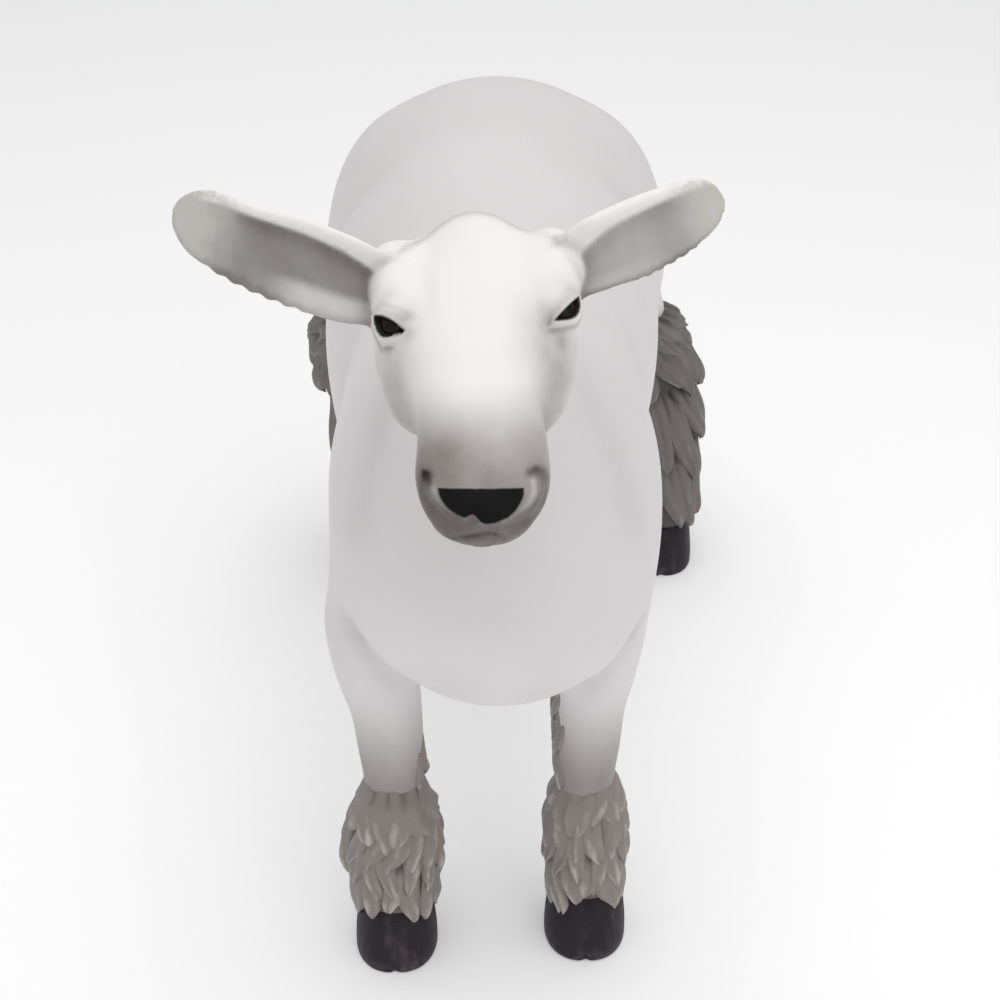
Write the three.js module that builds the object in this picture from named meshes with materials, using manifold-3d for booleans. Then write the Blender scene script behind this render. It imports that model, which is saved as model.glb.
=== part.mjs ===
// A life-size standing sheep, cast in resin and painted: smooth shorn body, long ears held out to the
// sides, curled wool only on the lower legs, black cloven hooves. Millimetres, +Z up, the muzzle towards
// -Y, the sheep's left towards +X. Forms are written in a standing frame whose origin is on the floor
// below the forelegs; the last group moves it to the middle of the whole figure.
import * as THREE from "three";
import { mergeVertices } from "three/addons/utils/BufferGeometryUtils.js";
import Module from "manifold-3d";

const wasm = await Module();
wasm.setup();

// ---------------------------------------------------------------- driving dimensions
const GAP = 0.4;
const FINEST_DETAIL = 0.05;
const STANDING_TO_CENTRE = [-15.8, -237.7, 0];

// Head: the poll is its rearmost point on the brow line, and the face slopes forward and down from it.
const POLL = { x: -14.5, y: -120, z: 822 };
const FACE_TURN = 0.038;
const FACE_SLOPE = THREE.MathUtils.degToRad(25);
const TILT_AT_EYES = THREE.MathUtils.degToRad(7);
const TILT_AT_MUZZLE = THREE.MathUtils.degToRad(0.5);
const TILT_AXIS_HEIGHT = -32;
const TILT_FADES = [90, 200];

// Neck: an axis from inside the shoulders to the back of the skull.
const NECK_FOOT = { y: 60, z: 530 };
const NECK_TOP = { y: -125, z: 765 };

// Eyes: the ball's radius, the opening between the lids as a cone, and for each eye the middle of the
// ball and the way it looks, both along the face, out from its middle and up from the brow line.
const EYE = {
  radius: 13.5,
  opening: { inner: 4, outer: 13, depth: 30 },
  eye_left: { at: [64, 60, -24.5], look: [0.372, 0.538, 0.756] },
  eye_right: { at: [66, -57.5, -25], look: [0.39, -0.305, 0.869] },
};

// Heights at which the legs change.
const HOOF_TOP = 72;
const FORE_WOOL_TOP = 190;
const HIND_WOOL_TOP = { y: 700, z: 326, fall: 0.5 };

// Feet: hoof middle, width and length.
const HOOF = { width: 80, length: 94, toeRound: 0.82, lean: 17, cleft: 4 };
const FOOT = {
  foreleg_left: { x: 88, y: 27 },
  foreleg_right: { x: -98, y: 11 },
  hindleg_left: { x: 210, y: 708 },
  hindleg_right: { x: -160, y: 693 },
};
const HIP = { fore: 89, hind: 197, from: 180, to: 330 };

// Stations along an axis: place, side offset, height offset, half width, half height up, half height down.
const TRUNK = [
  [-90, 0, 500, 20, 20, 20],
  [-60, 0, 500, 86, 116, 118],
  [-20, -1, 503, 106, 158, 152],
  [50, -3, 508, 115, 178, 162],
  [150, -4, 512, 139, 180, 158],
  [300, -4, 512, 163, 175, 158],
  [450, -2, 515, 168, 172, 154],
  [560, 0, 516, 163, 160, 138],
  [640, 0, 516, 148, 138, 118],
  [700, 0, 518, 110, 102, 90],
  [740, 0, 520, 30, 30, 30],
];
const NECK = [
  [-60, 0, 0, 90, 108, 110],
  [20, 0, 0, 102, 122, 120],
  [100, 0, 0, 90, 107, 106],
  [180, 0, 0, 74, 84, 88],
  [240, 0, 0, 60, 50, 70],
  [285, 0, 0, 48, 28, 54],
  [315, 0, 0, 22, 12, 24],
];
const FACE = [
  [-38, 0, -52, 10, 8, 10],
  [-28, 0, -52, 36, 27, 38],
  [-6, 0, -50, 56, 40, 56],
  [28, 0, -46, 67, 43, 64],
  [55, -3, -44, 67, 43, 62],
  [88, -4.5, -40, 57, 42, 56],
  [120, -4, -37, 46, 41, 48],
  [150, -1, -33, 44, 38, 42],
  [172, 0, -30, 44.5, 35, 37],
  [196, -0.5, -26, 45.5, 29.5, 30],
  [216, -1, -25, 42.5, 26, 25],
  [232, -2, -25, 35.5, 21, 19],
  [244, -3, -26, 25, 14, 12],
  [250, -3, -27, 10, 5, 5],
];
const JAW = [
  [5, 0, -90, 10, 10, 10],
  [20, 0, -90, 34, 36, 36],
  [60, 0, -92, 40, 38, 42],
  [110, 0, -82, 36, 36, 36],
  [160, 0, -68, 31, 32, 26],
  [198, 0, -52, 30, 24, 17],
  [220, 0, -45, 25, 16, 11],
  [234, 0, -42, 10, 7, 5],
];

// Bosses that the skull adds on each side: place, half sizes, how softly each one joins, and how far
// the pair of them is moved towards the sheep's left.
const SKULL = [
  { at: [-4, 0, -25], size: [34, 27, 18], soft: 14, lean: 0 },
  { at: [47, 56, -24], size: [30, 19, 18], soft: 14, lean: 0 },
  { at: [14, 56, -30], size: [28, 25, 22], soft: 14, lean: 0 },
  { at: [78, 44, -60], size: [49, 27, 34], soft: 24, lean: -5 },
  { at: [58, 34, -88], size: [46, 22, 34], soft: 26, lean: -5 },
];

// Leg stations by height: outward offset, place along the body, half width, half depth.
const FORELEG = [
  [40, 0, 0, 24, 26],
  [75, 0, 4, 29, 32],
  [105, -1, 8, 31, 36],
  [150, -2, 10, 26, 30],
  [200, -2, 6, 27.5, 31],
  [240, -1, 2, 30.5, 34],
  [280, 1, 4, 33, 37],
  [320, 6, 8, 38, 46],
  [370, 8, 10, 43, 60],
  [430, 4, 12, 44, 74],
  [500, -4, 16, 45, 82],
  [560, -10, 24, 38, 68],
  [600, -30, 34, 20, 30],
];
const HINDLEG = [
  [40, 0, 0, 24, 26],
  [75, 0, 4, 28, 32],
  [110, -4, 15, 30, 36],
  [160, -8, 32, 25, 29],
  [230, -12, 50, 26, 32],
  [280, -16, 55, 30, 42],
  [315, -22, 42, 32, 48],
  [350, -32, 16, 38, 58],
  [390, -50, -15, 47, 78],
  [440, -66, -45, 52, 98],
  [500, -88, -68, 54, 108],
  [560, -120, -85, 46, 86],
  [600, -145, -90, 20, 30],
];
const FORELEG_LEAN = { height: 400, right: -18, left: 0 };
const FOREARM = { height: 350, spread: 100, right: 15, left: -4 };

// Ears: root and tip, the way the upper edge faces, and half widths above and below the middle.
const EAR = { thickness: 4.6, cup: 13, rootAlong: 24, rootUp: -33, roundFrom: 0.84, rounding: 39 };
const EAR_STATIONS = [-0.2, 0, 0.2, 0.45, 0.7, 0.86, 1];
const EAR_PLACE = {
  ear_left: {
    out: 62,
    tip: [165, -76, 826],
    upper: [-0.35, 0.25, 1],
    halfAbove: [30, 31, 33, 31, 28, 25, 23],
    halfBelow: [19, 19, 20, 25, 24, 19, 16],
  },
  ear_right: {
    out: -58,
    tip: [-229, -117, 836],
    upper: [0.25, 0.35, 1],
    halfAbove: [22, 22, 24, 25, 22, 22, 21],
    halfBelow: [28, 29, 35, 37, 34, 28, 24],
  },
};

// ---------------------------------------------------------------- profiles and smooth joins
// A smooth curve through [place, value] pairs that never swings past them.
function curveThrough(places, values) {
  const last = places.length - 1;
  const slope = places.map((_, i) => {
    if (i === 0 || i === last) return 0;
    const before = (values[i] - values[i - 1]) / (places[i] - places[i - 1]);
    const after = (values[i + 1] - values[i]) / (places[i + 1] - places[i]);
    if (before * after <= 0) return 0;
    const mean = (before + after) / 2;
    return Math.sign(mean) * Math.min(Math.abs(mean), 3 * Math.abs(before), 3 * Math.abs(after));
  });
  return (place) => {
    const p = Math.min(Math.max(place, places[0]), places[last]);
    let i = 0;
    while (i < last - 1 && p > places[i + 1]) i += 1;
    const span = places[i + 1] - places[i];
    const t = (p - places[i]) / span;
    const t2 = t * t;
    const t3 = t2 * t;
    return (2 * t3 - 3 * t2 + 1) * values[i]
      + (t3 - 2 * t2 + t) * span * slope[i]
      + (3 * t2 - 2 * t3) * values[i + 1]
      + (t3 - t2) * span * slope[i + 1];
  };
}

function smoothUnion(a, b, width) {
  const h = Math.max(width - Math.abs(a - b), 0) / width;
  return Math.min(a, b) - (h * h * width) / 4;
}

// Signed distance to a body whose cross-section swells and shrinks along an axis.
function tapered(stations, power) {
  const places = stations.map((row) => row[0]);
  const column = (k) => curveThrough(places, stations.map((row) => row[k]));
  const side = column(1);
  const height = column(2);
  const half = column(3);
  const up = column(4);
  const down = column(5);
  const first = places[0];
  const last = places[places.length - 1];
  const least = 0.5;
  return (along, across, rise) => {
    const u = across - side(along);
    const v = rise - height(along);
    const a = Math.max(half(along), least);
    const b = Math.max(v > 0 ? up(along) : down(along), least);
    const reach = Math.hypot(u, v);
    const level = (Math.abs(u / a) ** power + Math.abs(v / b) ** power) ** (1 / power);
    const round = level > 1e-6 ? reach - reach / level : -Math.min(a, b);
    const beyond = Math.max(first - along, along - last);
    return beyond > 0 ? Math.hypot(Math.max(round, 0), beyond) : Math.max(round, beyond);
  };
}

function ellipsoid(x, y, z, centre, radii) {
  const px = (x - centre[0]) / radii[0];
  const py = (y - centre[1]) / radii[1];
  const pz = (z - centre[2]) / radii[2];
  const k0 = Math.hypot(px, py, pz);
  const k1 = Math.hypot(px / radii[0], py / radii[1], pz / radii[2]);
  return k1 > 0 ? (k0 * (k0 - 1)) / k1 : -Math.min(...radii);
}

function capsule(x, y, z, from, to, radiusFrom, radiusTo) {
  const d = [to[0] - from[0], to[1] - from[1], to[2] - from[2]];
  const p = [x - from[0], y - from[1], z - from[2]];
  const length2 = d[0] ** 2 + d[1] ** 2 + d[2] ** 2;
  const t = THREE.MathUtils.clamp((p[0] * d[0] + p[1] * d[1] + p[2] * d[2]) / length2, 0, 1);
  const away = Math.hypot(p[0] - t * d[0], p[1] - t * d[1], p[2] - t * d[2]);
  return away - (radiusFrom + (radiusTo - radiusFrom) * t);
}

// ---------------------------------------------------------------- the head's own frame
function tiltAt(along) {
  return THREE.MathUtils.lerp(
    TILT_AT_EYES,
    TILT_AT_MUZZLE,
    THREE.MathUtils.smoothstep(along, ...TILT_FADES),
  );
}

// From the standing frame to [along the face, out to the sheep's left, up from the brow line].
function toHead(x, y, z) {
  const along = -(y - POLL.y) * Math.cos(FACE_SLOPE) - (z - POLL.z) * Math.sin(FACE_SLOPE);
  const rise = -(y - POLL.y) * Math.sin(FACE_SLOPE) + (z - POLL.z) * Math.cos(FACE_SLOPE);
  const tilt = tiltAt(along);
  const u = x - POLL.x - FACE_TURN * along;
  const v = rise - TILT_AXIS_HEIGHT;
  return [
    along,
    u * Math.cos(tilt) + v * Math.sin(tilt),
    v * Math.cos(tilt) - u * Math.sin(tilt) + TILT_AXIS_HEIGHT,
  ];
}

function fromHead(along, out, up) {
  const tilt = tiltAt(along);
  const v = up - TILT_AXIS_HEIGHT;
  const u = out * Math.cos(tilt) - v * Math.sin(tilt);
  const rise = out * Math.sin(tilt) + v * Math.cos(tilt) + TILT_AXIS_HEIGHT;
  return [
    POLL.x + u + FACE_TURN * along,
    POLL.y - along * Math.cos(FACE_SLOPE) - rise * Math.sin(FACE_SLOPE),
    POLL.z - along * Math.sin(FACE_SLOPE) + rise * Math.cos(FACE_SLOPE),
  ];
}

// ---------------------------------------------------------------- the forms of the sheep
const trunkTube = tapered(TRUNK, 2.1);
const neckTube = tapered(NECK, 2.1);
const faceTube = tapered(FACE, 2.2);
const jawTube = tapered(JAW, 2.1);

function trunkForm(x, y, z) {
  const side = Math.abs(x);
  let form = trunkTube(y, x, z);
  form = smoothUnion(form, ellipsoid(x, y, z, [5, -20, 478], [116, 106, 132]), 80);
  form = smoothUnion(form, ellipsoid(x, y, z, [0, 600, 505], [158, 172, 152]), 60);
  form = smoothUnion(form, ellipsoid(side, y, z, [73, 35, 490], [46, 104, 130]), 40);
  return smoothUnion(form, ellipsoid(side, y, z, [102, 595, 480], [72, 132, 136]), 50);
}

function neckForm(x, y, z) {
  const rise = [NECK_TOP.y - NECK_FOOT.y, NECK_TOP.z - NECK_FOOT.z];
  const length = Math.hypot(...rise);
  const along = ((y - NECK_FOOT.y) * rise[0] + (z - NECK_FOOT.z) * rise[1]) / length;
  const nape = ((y - NECK_FOOT.y) * rise[1] - (z - NECK_FOOT.z) * rise[0]) / length;
  const bend = POLL.x * THREE.MathUtils.clamp(along / length, 0, 1);
  return neckTube(along, x - bend, nape);
}

function headForm(x, y, z) {
  const [along, out, up] = toHead(x, y, z);
  const base = smoothUnion(faceTube(along, out, up), jawTube(along, out, up), 26);
  return SKULL.reduce((form, { at, size, soft, lean }) => {
    const side = Math.abs(out - lean);
    return smoothUnion(form, ellipsoid(along, side, up, at, size), soft);
  }, base);
}

// Where the middle of a leg lies across the body: over its foot, then towards the hip.
function sideOfLeg(name) {
  const foot = FOOT[name].x;
  const hip = Math.sign(foot) * HIP[name.slice(0, 4)];
  return (height) => foot + (hip - foot) * THREE.MathUtils.smoothstep(height, HIP.from, HIP.to);
}

function legForm(name, stations) {
  const foot = FOOT[name];
  const sign = Math.sign(foot.x);
  const isFore = name.startsWith("fore");
  const hand = name.endsWith("right") ? "right" : "left";
  const middle = sideOfLeg(name);
  const rows = stations.map(([height, out, along, half, depth]) => {
    const forearm = Math.exp(-(((height - FOREARM.height) / FOREARM.spread) ** 2));
    const bulge = isFore ? FOREARM[hand] * forearm : 0;
    const lean = isFore ? FORELEG_LEAN[hand] * Math.max(0, 1 - height / FORELEG_LEAN.height) : 0;
    const rest = isFore ? FOOT.foreleg_left.y : foot.y;
    return [height, middle(height) + sign * (out + bulge), rest + along + lean, half, depth, depth];
  });
  const tube = tapered(rows, 2.15);
  return (x, y, z) => tube(z, x, y);
}

const legForms = {
  foreleg_left: legForm("foreleg_left", FORELEG),
  foreleg_right: legForm("foreleg_right", FORELEG),
  hindleg_left: legForm("hindleg_left", HINDLEG),
  hindleg_right: legForm("hindleg_right", HINDLEG),
};

function tailForm(x, y, z) {
  const root = capsule(x, y, z, [0, 722, 596], [0, 764, 548], 27, 27);
  return smoothUnion(root, capsule(x, y, z, [0, 764, 548], [0, 774, 440], 27, 17), 12);
}

function bodyForm(x, y, z) {
  let form = smoothUnion(trunkForm(x, y, z), neckForm(x, y, z), 80);
  form = smoothUnion(form, legForms.foreleg_left(x, y, z), 35);
  form = smoothUnion(form, legForms.foreleg_right(x, y, z), 35);
  form = smoothUnion(form, legForms.hindleg_left(x, y, z), 50);
  form = smoothUnion(form, legForms.hindleg_right(x, y, z), 50);
  return smoothUnion(form, headForm(x, y, z), 32);
}

// ---------------------------------------------------------------- from forms to closed meshes
// Walks the cells of a grid over a box, puts one vertex in each cell that the surface crosses, moves it
// onto the surface, and joins the four cells round each crossed grid edge with a quad.
function surfaceOf(form, low, high, cell) {
  const counts = low.map((l, a) => Math.ceil((high[a] - l) / cell) + 1);
  const stride = [1, counts[0], counts[0] * counts[1]];
  const at = (i, j, k) => i + j * stride[1] + k * stride[2];
  const inside = new Float64Array(counts[0] * counts[1] * counts[2]).fill(cell);
  for (let k = 1; k < counts[2] - 1; k += 1)
    for (let j = 1; j < counts[1] - 1; j += 1)
      for (let i = 1; i < counts[0] - 1; i += 1)
        inside[at(i, j, k)] = form(low[0] + i * cell, low[1] + j * cell, low[2] + k * cell) || 1e-9;

  const vertexOf = new Map();
  const points = [];
  for (let k = 0; k < counts[2] - 1; k += 1)
    for (let j = 0; j < counts[1] - 1; j += 1)
      for (let i = 0; i < counts[0] - 1; i += 1) {
        const point = cellPoint(inside, at(i, j, k), stride);
        if (!point) continue;
        vertexOf.set(at(i, j, k), points.length / 3);
        points.push(
          low[0] + (i + point[0]) * cell,
          low[1] + (j + point[1]) * cell,
          low[2] + (k + point[2]) * cell,
        );
      }
  settle(points, form, low, high, cell);

  const faces = [];
  for (let k = 0; k < counts[2] - 1; k += 1)
    for (let j = 0; j < counts[1] - 1; j += 1)
      for (let i = 0; i < counts[0] - 1; i += 1)
        for (let axis = 0; axis < 3; axis += 1) {
          const index = [i, j, k];
          if (!index[(axis + 1) % 3] || !index[(axis + 2) % 3]) continue;
          const here = at(i, j, k);
          const startsInside = inside[here] < 0;
          if (startsInside === inside[here + stride[axis]] < 0) continue;
          const s = stride[(axis + 1) % 3];
          const t = stride[(axis + 2) % 3];
          const quad = [here - s - t, here - t, here, here - s].map((c) => vertexOf.get(c));
          if (!startsInside) quad.reverse();
          faces.push(quad[0], quad[1], quad[2], quad[0], quad[2], quad[3]);
        }
  return meshGeometry(points, faces);
}

// The mean of the places where a cell's twelve edges cross the surface, or null if none does.
function cellPoint(values, corner, stride) {
  const sum = [0, 0, 0];
  let crossings = 0;
  for (let axis = 0; axis < 3; axis += 1) {
    const s = (axis + 1) % 3;
    const t = (axis + 2) % 3;
    for (let side = 0; side < 4; side += 1) {
      const ds = side & 1;
      const dt = side >> 1;
      const from = values[corner + ds * stride[s] + dt * stride[t]];
      const to = values[corner + ds * stride[s] + dt * stride[t] + stride[axis]];
      if (from < 0 === to < 0) continue;
      sum[axis] += from / (from - to);
      sum[s] += ds;
      sum[t] += dt;
      crossings += 1;
    }
  }
  return crossings ? sum.map((v) => v / crossings) : null;
}

// Newton steps along the gradient, only for points away from the box's own sides.
function settle(points, form, low, high, cell) {
  const h = 0.5;
  for (let n = 0; n < points.length; n += 3) {
    const nearSide = [0, 1, 2].some(
      (a) => points[n + a] < low[a] + 2 * cell || points[n + a] > high[a] - 2 * cell,
    );
    if (nearSide) continue;
    for (let step = 0; step < 2; step += 1) {
      const [x, y, z] = points.slice(n, n + 3);
      const value = form(x, y, z);
      const slope = [
        (form(x + h, y, z) - form(x - h, y, z)) / (2 * h),
        (form(x, y + h, z) - form(x, y - h, z)) / (2 * h),
        (form(x, y, z + h) - form(x, y, z - h)) / (2 * h),
      ];
      const steepness = Math.max(slope[0] ** 2 + slope[1] ** 2 + slope[2] ** 2, 0.1);
      const reach = THREE.MathUtils.clamp(value / steepness, -cell / 4, cell / 4);
      for (let a = 0; a < 3; a += 1) points[n + a] -= reach * slope[a];
    }
  }
}

function meshGeometry(points, faces) {
  const geometry = new THREE.BufferGeometry();
  geometry.setAttribute("position", new THREE.Float32BufferAttribute(points, 3));
  geometry.setIndex(faces);
  return geometry;
}

// A closed skin over rings of equal count; a ring of one repeated point closes to a tip.
function loft(rings) {
  const count = rings[0].length;
  const points = rings.flat(2);
  const faces = [];
  for (let r = 0; r < rings.length - 1; r += 1)
    for (let c = 0; c < count; c += 1) {
      const next = (c + 1) % count;
      const a = r * count + c;
      const b = r * count + next;
      faces.push(a, b, b + count, a, b + count, a + count);
    }
  for (const [ring, turned] of [[0, true], [rings.length - 1, false]]) {
    const hub = points.length / 3;
    const mean = [0, 1, 2].map((a) => rings[ring].reduce((sum, p) => sum + p[a], 0) / count);
    points.push(...mean);
    for (let c = 0; c < count; c += 1) {
      const a = ring * count + c;
      const b = ring * count + ((c + 1) % count);
      faces.push(hub, turned ? b : a, turned ? a : b);
    }
  }
  return meshGeometry(points, faces);
}

// ---------------------------------------------------------------- cutting and joining
function toSolid(geometry) {
  const bare = geometry.clone();
  bare.deleteAttribute("normal");
  bare.deleteAttribute("uv");
  const merged = mergeVertices(bare, 1e-3);
  const all = merged.index.array;
  const kept = [];
  for (let i = 0; i < all.length; i += 3) {
    const [a, b, c] = all.slice(i, i + 3);
    if (a !== b && b !== c && c !== a) kept.push(a, b, c);
  }
  return new wasm.Manifold(
    new wasm.Mesh({
      numProp: 3,
      vertProperties: merged.attributes.position.array,
      triVerts: new Uint32Array(kept),
    }),
  );
}

function toGeometry(solid) {
  const mesh = solid.simplify(FINEST_DETAIL).getMesh();
  return meshGeometry(Array.from(mesh.vertProperties), Array.from(mesh.triVerts));
}

// The biggest of the pieces that a cut leaves.
function largestOf(solid) {
  return solid.decompose().reduce((most, piece) => (piece.volume() > most.volume() ? piece : most));
}

// Everything on the side of a plane that its normal points to, as a large block.
function halfSpace(point, normal, inset) {
  const size = 3000;
  const block = new THREE.BoxGeometry(size, size, size).translate(0, 0, size / 2 + inset);
  const turn = new THREE.Quaternion().setFromUnitVectors(
    new THREE.Vector3(0, 0, 1),
    new THREE.Vector3(...normal).normalize(),
  );
  block.applyQuaternion(turn);
  block.translate(...point);
  return toSolid(block);
}

// The block that holds one leg: below a slope that rises outwards, on one side of the body.
const LEG_BLOCK = {
  fore: { inner: 30, outer: 260, innerTop: 332, slope: 0.72, front: -140, rear: 128 },
  hind: { inner: 24, outer: 300, innerTop: 365, slope: 0.66, front: 508, rear: 860 },
};

function legBlock(name, grow) {
  const block = LEG_BLOCK[name.slice(0, 4)];
  const sign = Math.sign(FOOT[name].x);
  const topAt = (x) => block.innerTop + grow + (x - block.inner) * block.slope;
  const outline = new THREE.Shape([
    new THREE.Vector2(sign * (block.inner - grow), -50),
    new THREE.Vector2(sign * block.outer, -50),
    new THREE.Vector2(sign * block.outer, topAt(block.outer)),
    new THREE.Vector2(sign * (block.inner - grow), topAt(block.inner - grow)),
  ]);
  const depth = block.rear - block.front + 2 * grow;
  const prism = new THREE.ExtrudeGeometry(outline, { depth, bevelEnabled: false });
  prism.rotateX(Math.PI / 2);
  prism.translate(0, block.rear + grow, 0);
  return toSolid(prism);
}

const HEAD_PLANE = { point: [0, -84, 826], normal: [0, -0.894, 0.447] };
const NECK_PLANE = { point: [0, 84, 692], normal: [0, -0.491, 0.871] };
const above = (plane, inset) => halfSpace(plane.point, plane.normal, inset);
const below = (plane, inset) => halfSpace(plane.point, plane.normal.map((n) => -n), inset);

// ---------------------------------------------------------------- parts
function eyeBall(name, grow) {
  const ball = new THREE.SphereGeometry(EYE.radius + grow, 12, 8);
  ball.translate(...fromHead(...EYE[name].at));
  return ball;
}

function eyeOpening(name) {
  const { inner, outer, depth } = EYE.opening;
  const { at, look } = EYE[name];
  const middle = new THREE.Vector3(...fromHead(...at));
  const ahead = new THREE.Vector3(...fromHead(...at.map((place, a) => place + look[a] * depth)));
  const cone = new THREE.CylinderGeometry(outer, inner, depth, 8).translate(0, depth / 2, 0);
  cone.applyQuaternion(
    new THREE.Quaternion().setFromUnitVectors(
      new THREE.Vector3(0, 1, 0),
      ahead.sub(middle).normalize(),
    ),
  );
  return cone.translate(...middle.toArray());
}

function buildTrunk() {
  let solid = toSolid(surfaceOf(bodyForm, [-272, -200, 262], [272, 830, 760], 39));
  solid = solid.intersect(below(NECK_PLANE, GAP / 2));
  for (const name of Object.keys(FOOT)) solid = solid.subtract(legBlock(name, GAP));
  return solid;
}

function buildNeck() {
  return toSolid(surfaceOf(bodyForm, [-190, -260, 500], [190, 190, 920], 29))
    .intersect(above(NECK_PLANE, GAP / 2))
    .intersect(below(HEAD_PLANE, GAP / 2));
}

function buildHead() {
  return toSolid(surfaceOf(bodyForm, [-120, -410, 600], [100, 40, 880], 13.8))
    .intersect(above(HEAD_PLANE, GAP / 2))
    .subtract(toSolid(eyeBall("eye_left", GAP)))
    .subtract(toSolid(eyeBall("eye_right", GAP)))
    .subtract(toSolid(eyeOpening("eye_left")))
    .subtract(toSolid(eyeOpening("eye_right")));
}

function buildLeg(name) {
  const isFore = name.startsWith("fore");
  const cell = isFore ? 18 : 21;
  const foot = FOOT[name];
  const sign = Math.sign(foot.x);
  const reach = [sign * (isFore ? -20 : -30), sign * (isFore ? 230 : 310)].sort((a, b) => a - b);
  const low = [reach[0], foot.y - (isFore ? 170 : 250), isFore ? 150 : 230];
  const high = [reach[1], foot.y + (isFore ? 190 : 190), isFore ? 540 : 600];
  return toSolid(surfaceOf(bodyForm, low, high, cell))
    .intersect(legBlock(name, 0))
    .intersect(woolEdge(name, 1, GAP));
}

// One side of the plane where the smooth leg goes into its wool: 1 above it, -1 below it.
function woolEdge(name, side, inset) {
  if (name.startsWith("fore")) return halfSpace([0, 0, FORE_WOOL_TOP], [0, 0, side], inset);
  const { y, z, fall } = HIND_WOOL_TOP;
  return halfSpace([0, y, z], [0, side * fall, side], inset);
}

function buildTail(trunk) {
  return toSolid(surfaceOf(tailForm, [-60, 660, 400], [60, 850, 670], 13))
    .subtract(trunk.translate([0, GAP, 0]));
}

// An ear is a cupped leaf: rings across it from the root to the round tip.
function buildEar(name, head, neck) {
  const place = EAR_PLACE[name];
  const sign = Math.sign(place.out);
  const root = new THREE.Vector3(...fromHead(EAR.rootAlong, place.out, EAR.rootUp));
  const tip = new THREE.Vector3(...place.tip);
  const length = tip.distanceTo(root);
  const along = tip.clone().sub(root).normalize();
  const upper = new THREE.Vector3(...place.upper);
  upper.addScaledVector(along, -upper.dot(along)).normalize();
  const front = along.clone().cross(upper).multiplyScalar(sign);
  const aboveAt = curveThrough(EAR_STATIONS, place.halfAbove);
  const belowAt = curveThrough(EAR_STATIONS, place.halfBelow);
  const steps = [-0.2, -0.05, 0.1, 0.25, 0.4, 0.55, 0.7, 0.82, 0.91, 0.97, 1];
  const across = 12;
  const rings = steps.map((s) => {
    const opening = Math.max(1 - s, 0.2);
    const thick = EAR.thickness * (1.25 - 0.4 * s);
    const rounding = Math.sqrt(Math.max(1 - Math.max(s - EAR.roundFrom, 0) ** 2 * EAR.rounding, 0.01));
    const tucked = 24 * (1 - THREE.MathUtils.smoothstep(s, -0.1, 0.24));
    const middle = 14 * Math.max(1 - s, 0) ** 2 + 8 - tucked;
    return Array.from({ length: across }, (_, c) => {
      const angle = (2 * Math.PI * c) / across;
      const q = Math.cos(angle);
      const half = (q > 0 ? aboveAt(s) : belowAt(s)) * rounding;
      const lift = middle + EAR.cup * opening * (q * q - 0.75);
      return root
        .clone()
        .addScaledVector(along, s * length)
        .addScaledVector(upper, q * half)
        .addScaledVector(front, lift + sign * thick * Math.sin(angle))
        .toArray();
    });
  });
  return largestOf(
    toSolid(loft(rings))
      .subtract(head.translate([sign * GAP, 0, GAP]))
      .subtract(neck.translate([sign * GAP, 0, GAP])),
  );
}

// A wool cuff: tiers of locks that flare down and out round the leg, from its top to the hoof.
const FORE_WOOL = {
  stations: [[72, 47, 49], [100, 50, 52], [135, 50, 53], [162, 46, 49], [182, 41, 45], [190, 38, 43]],
  tiers: 3,
  flare: 4,
};
const HIND_WOOL = {
  stations: [[72, 43, 44], [90, 46, 50], [140, 51, 55], [210, 49, 55], [270, 47, 57], [330, 46, 62],
    [380, 42, 62]],
  tiers: 5,
  flare: 6,
};
const WOOL_SIZE = { foreleg_left: 0.82, foreleg_right: 0.92, hindleg_left: 1, hindleg_right: 0.95 };

function buildWool(name) {
  const isFore = name.startsWith("fore");
  const wool = isFore ? FORE_WOOL : HIND_WOOL;
  const foot = FOOT[name];
  const sign = Math.sign(foot.x);
  const stations = isFore ? FORELEG : HINDLEG;
  const heights = stations.map((row) => row[0]);
  const outAt = curveThrough(heights, stations.map((row) => row[1]));
  const alongAt = curveThrough(heights, stations.map((row) => row[2]));
  const places = wool.stations.map((row) => row[0]);
  const halfAt = curveThrough(places, wool.stations.map((row) => row[1]));
  const depthAt = curveThrough(places, wool.stations.map((row) => row[2]));
  const bottom = places[0];
  const top = places[places.length - 1];
  const size = WOOL_SIZE[name];
  const middle = sideOfLeg(name);
  const levels = wool.tiers * 2;
  const around = 16;
  const locks = 5;
  const rings = Array.from({ length: levels + 1 }, (_, level) => {
    const height = bottom + ((top - bottom) * level) / levels;
    return Array.from({ length: around }, (__, c) => {
      const angle = (2 * Math.PI * c) / around;
      const edge = level === 0 || level === levels ? 0 : 1;
      const fall = level % 2 ? 1 : -1;
      const lump = edge * wool.flare * (0.5 * fall + 0.6 * Math.cos(locks * angle + level * 2.2));
      const x = middle(height) + sign * outAt(height) * 0.6
        + Math.cos(angle) * (halfAt(height) * size + lump);
      const y = foot.y + alongAt(height) * 0.85 + Math.sin(angle) * (depthAt(height) * size + lump);
      return [x, y, height];
    });
  });
  return toSolid(loft(rings)).intersect(woolEdge(name, -1, 0));
}

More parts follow.
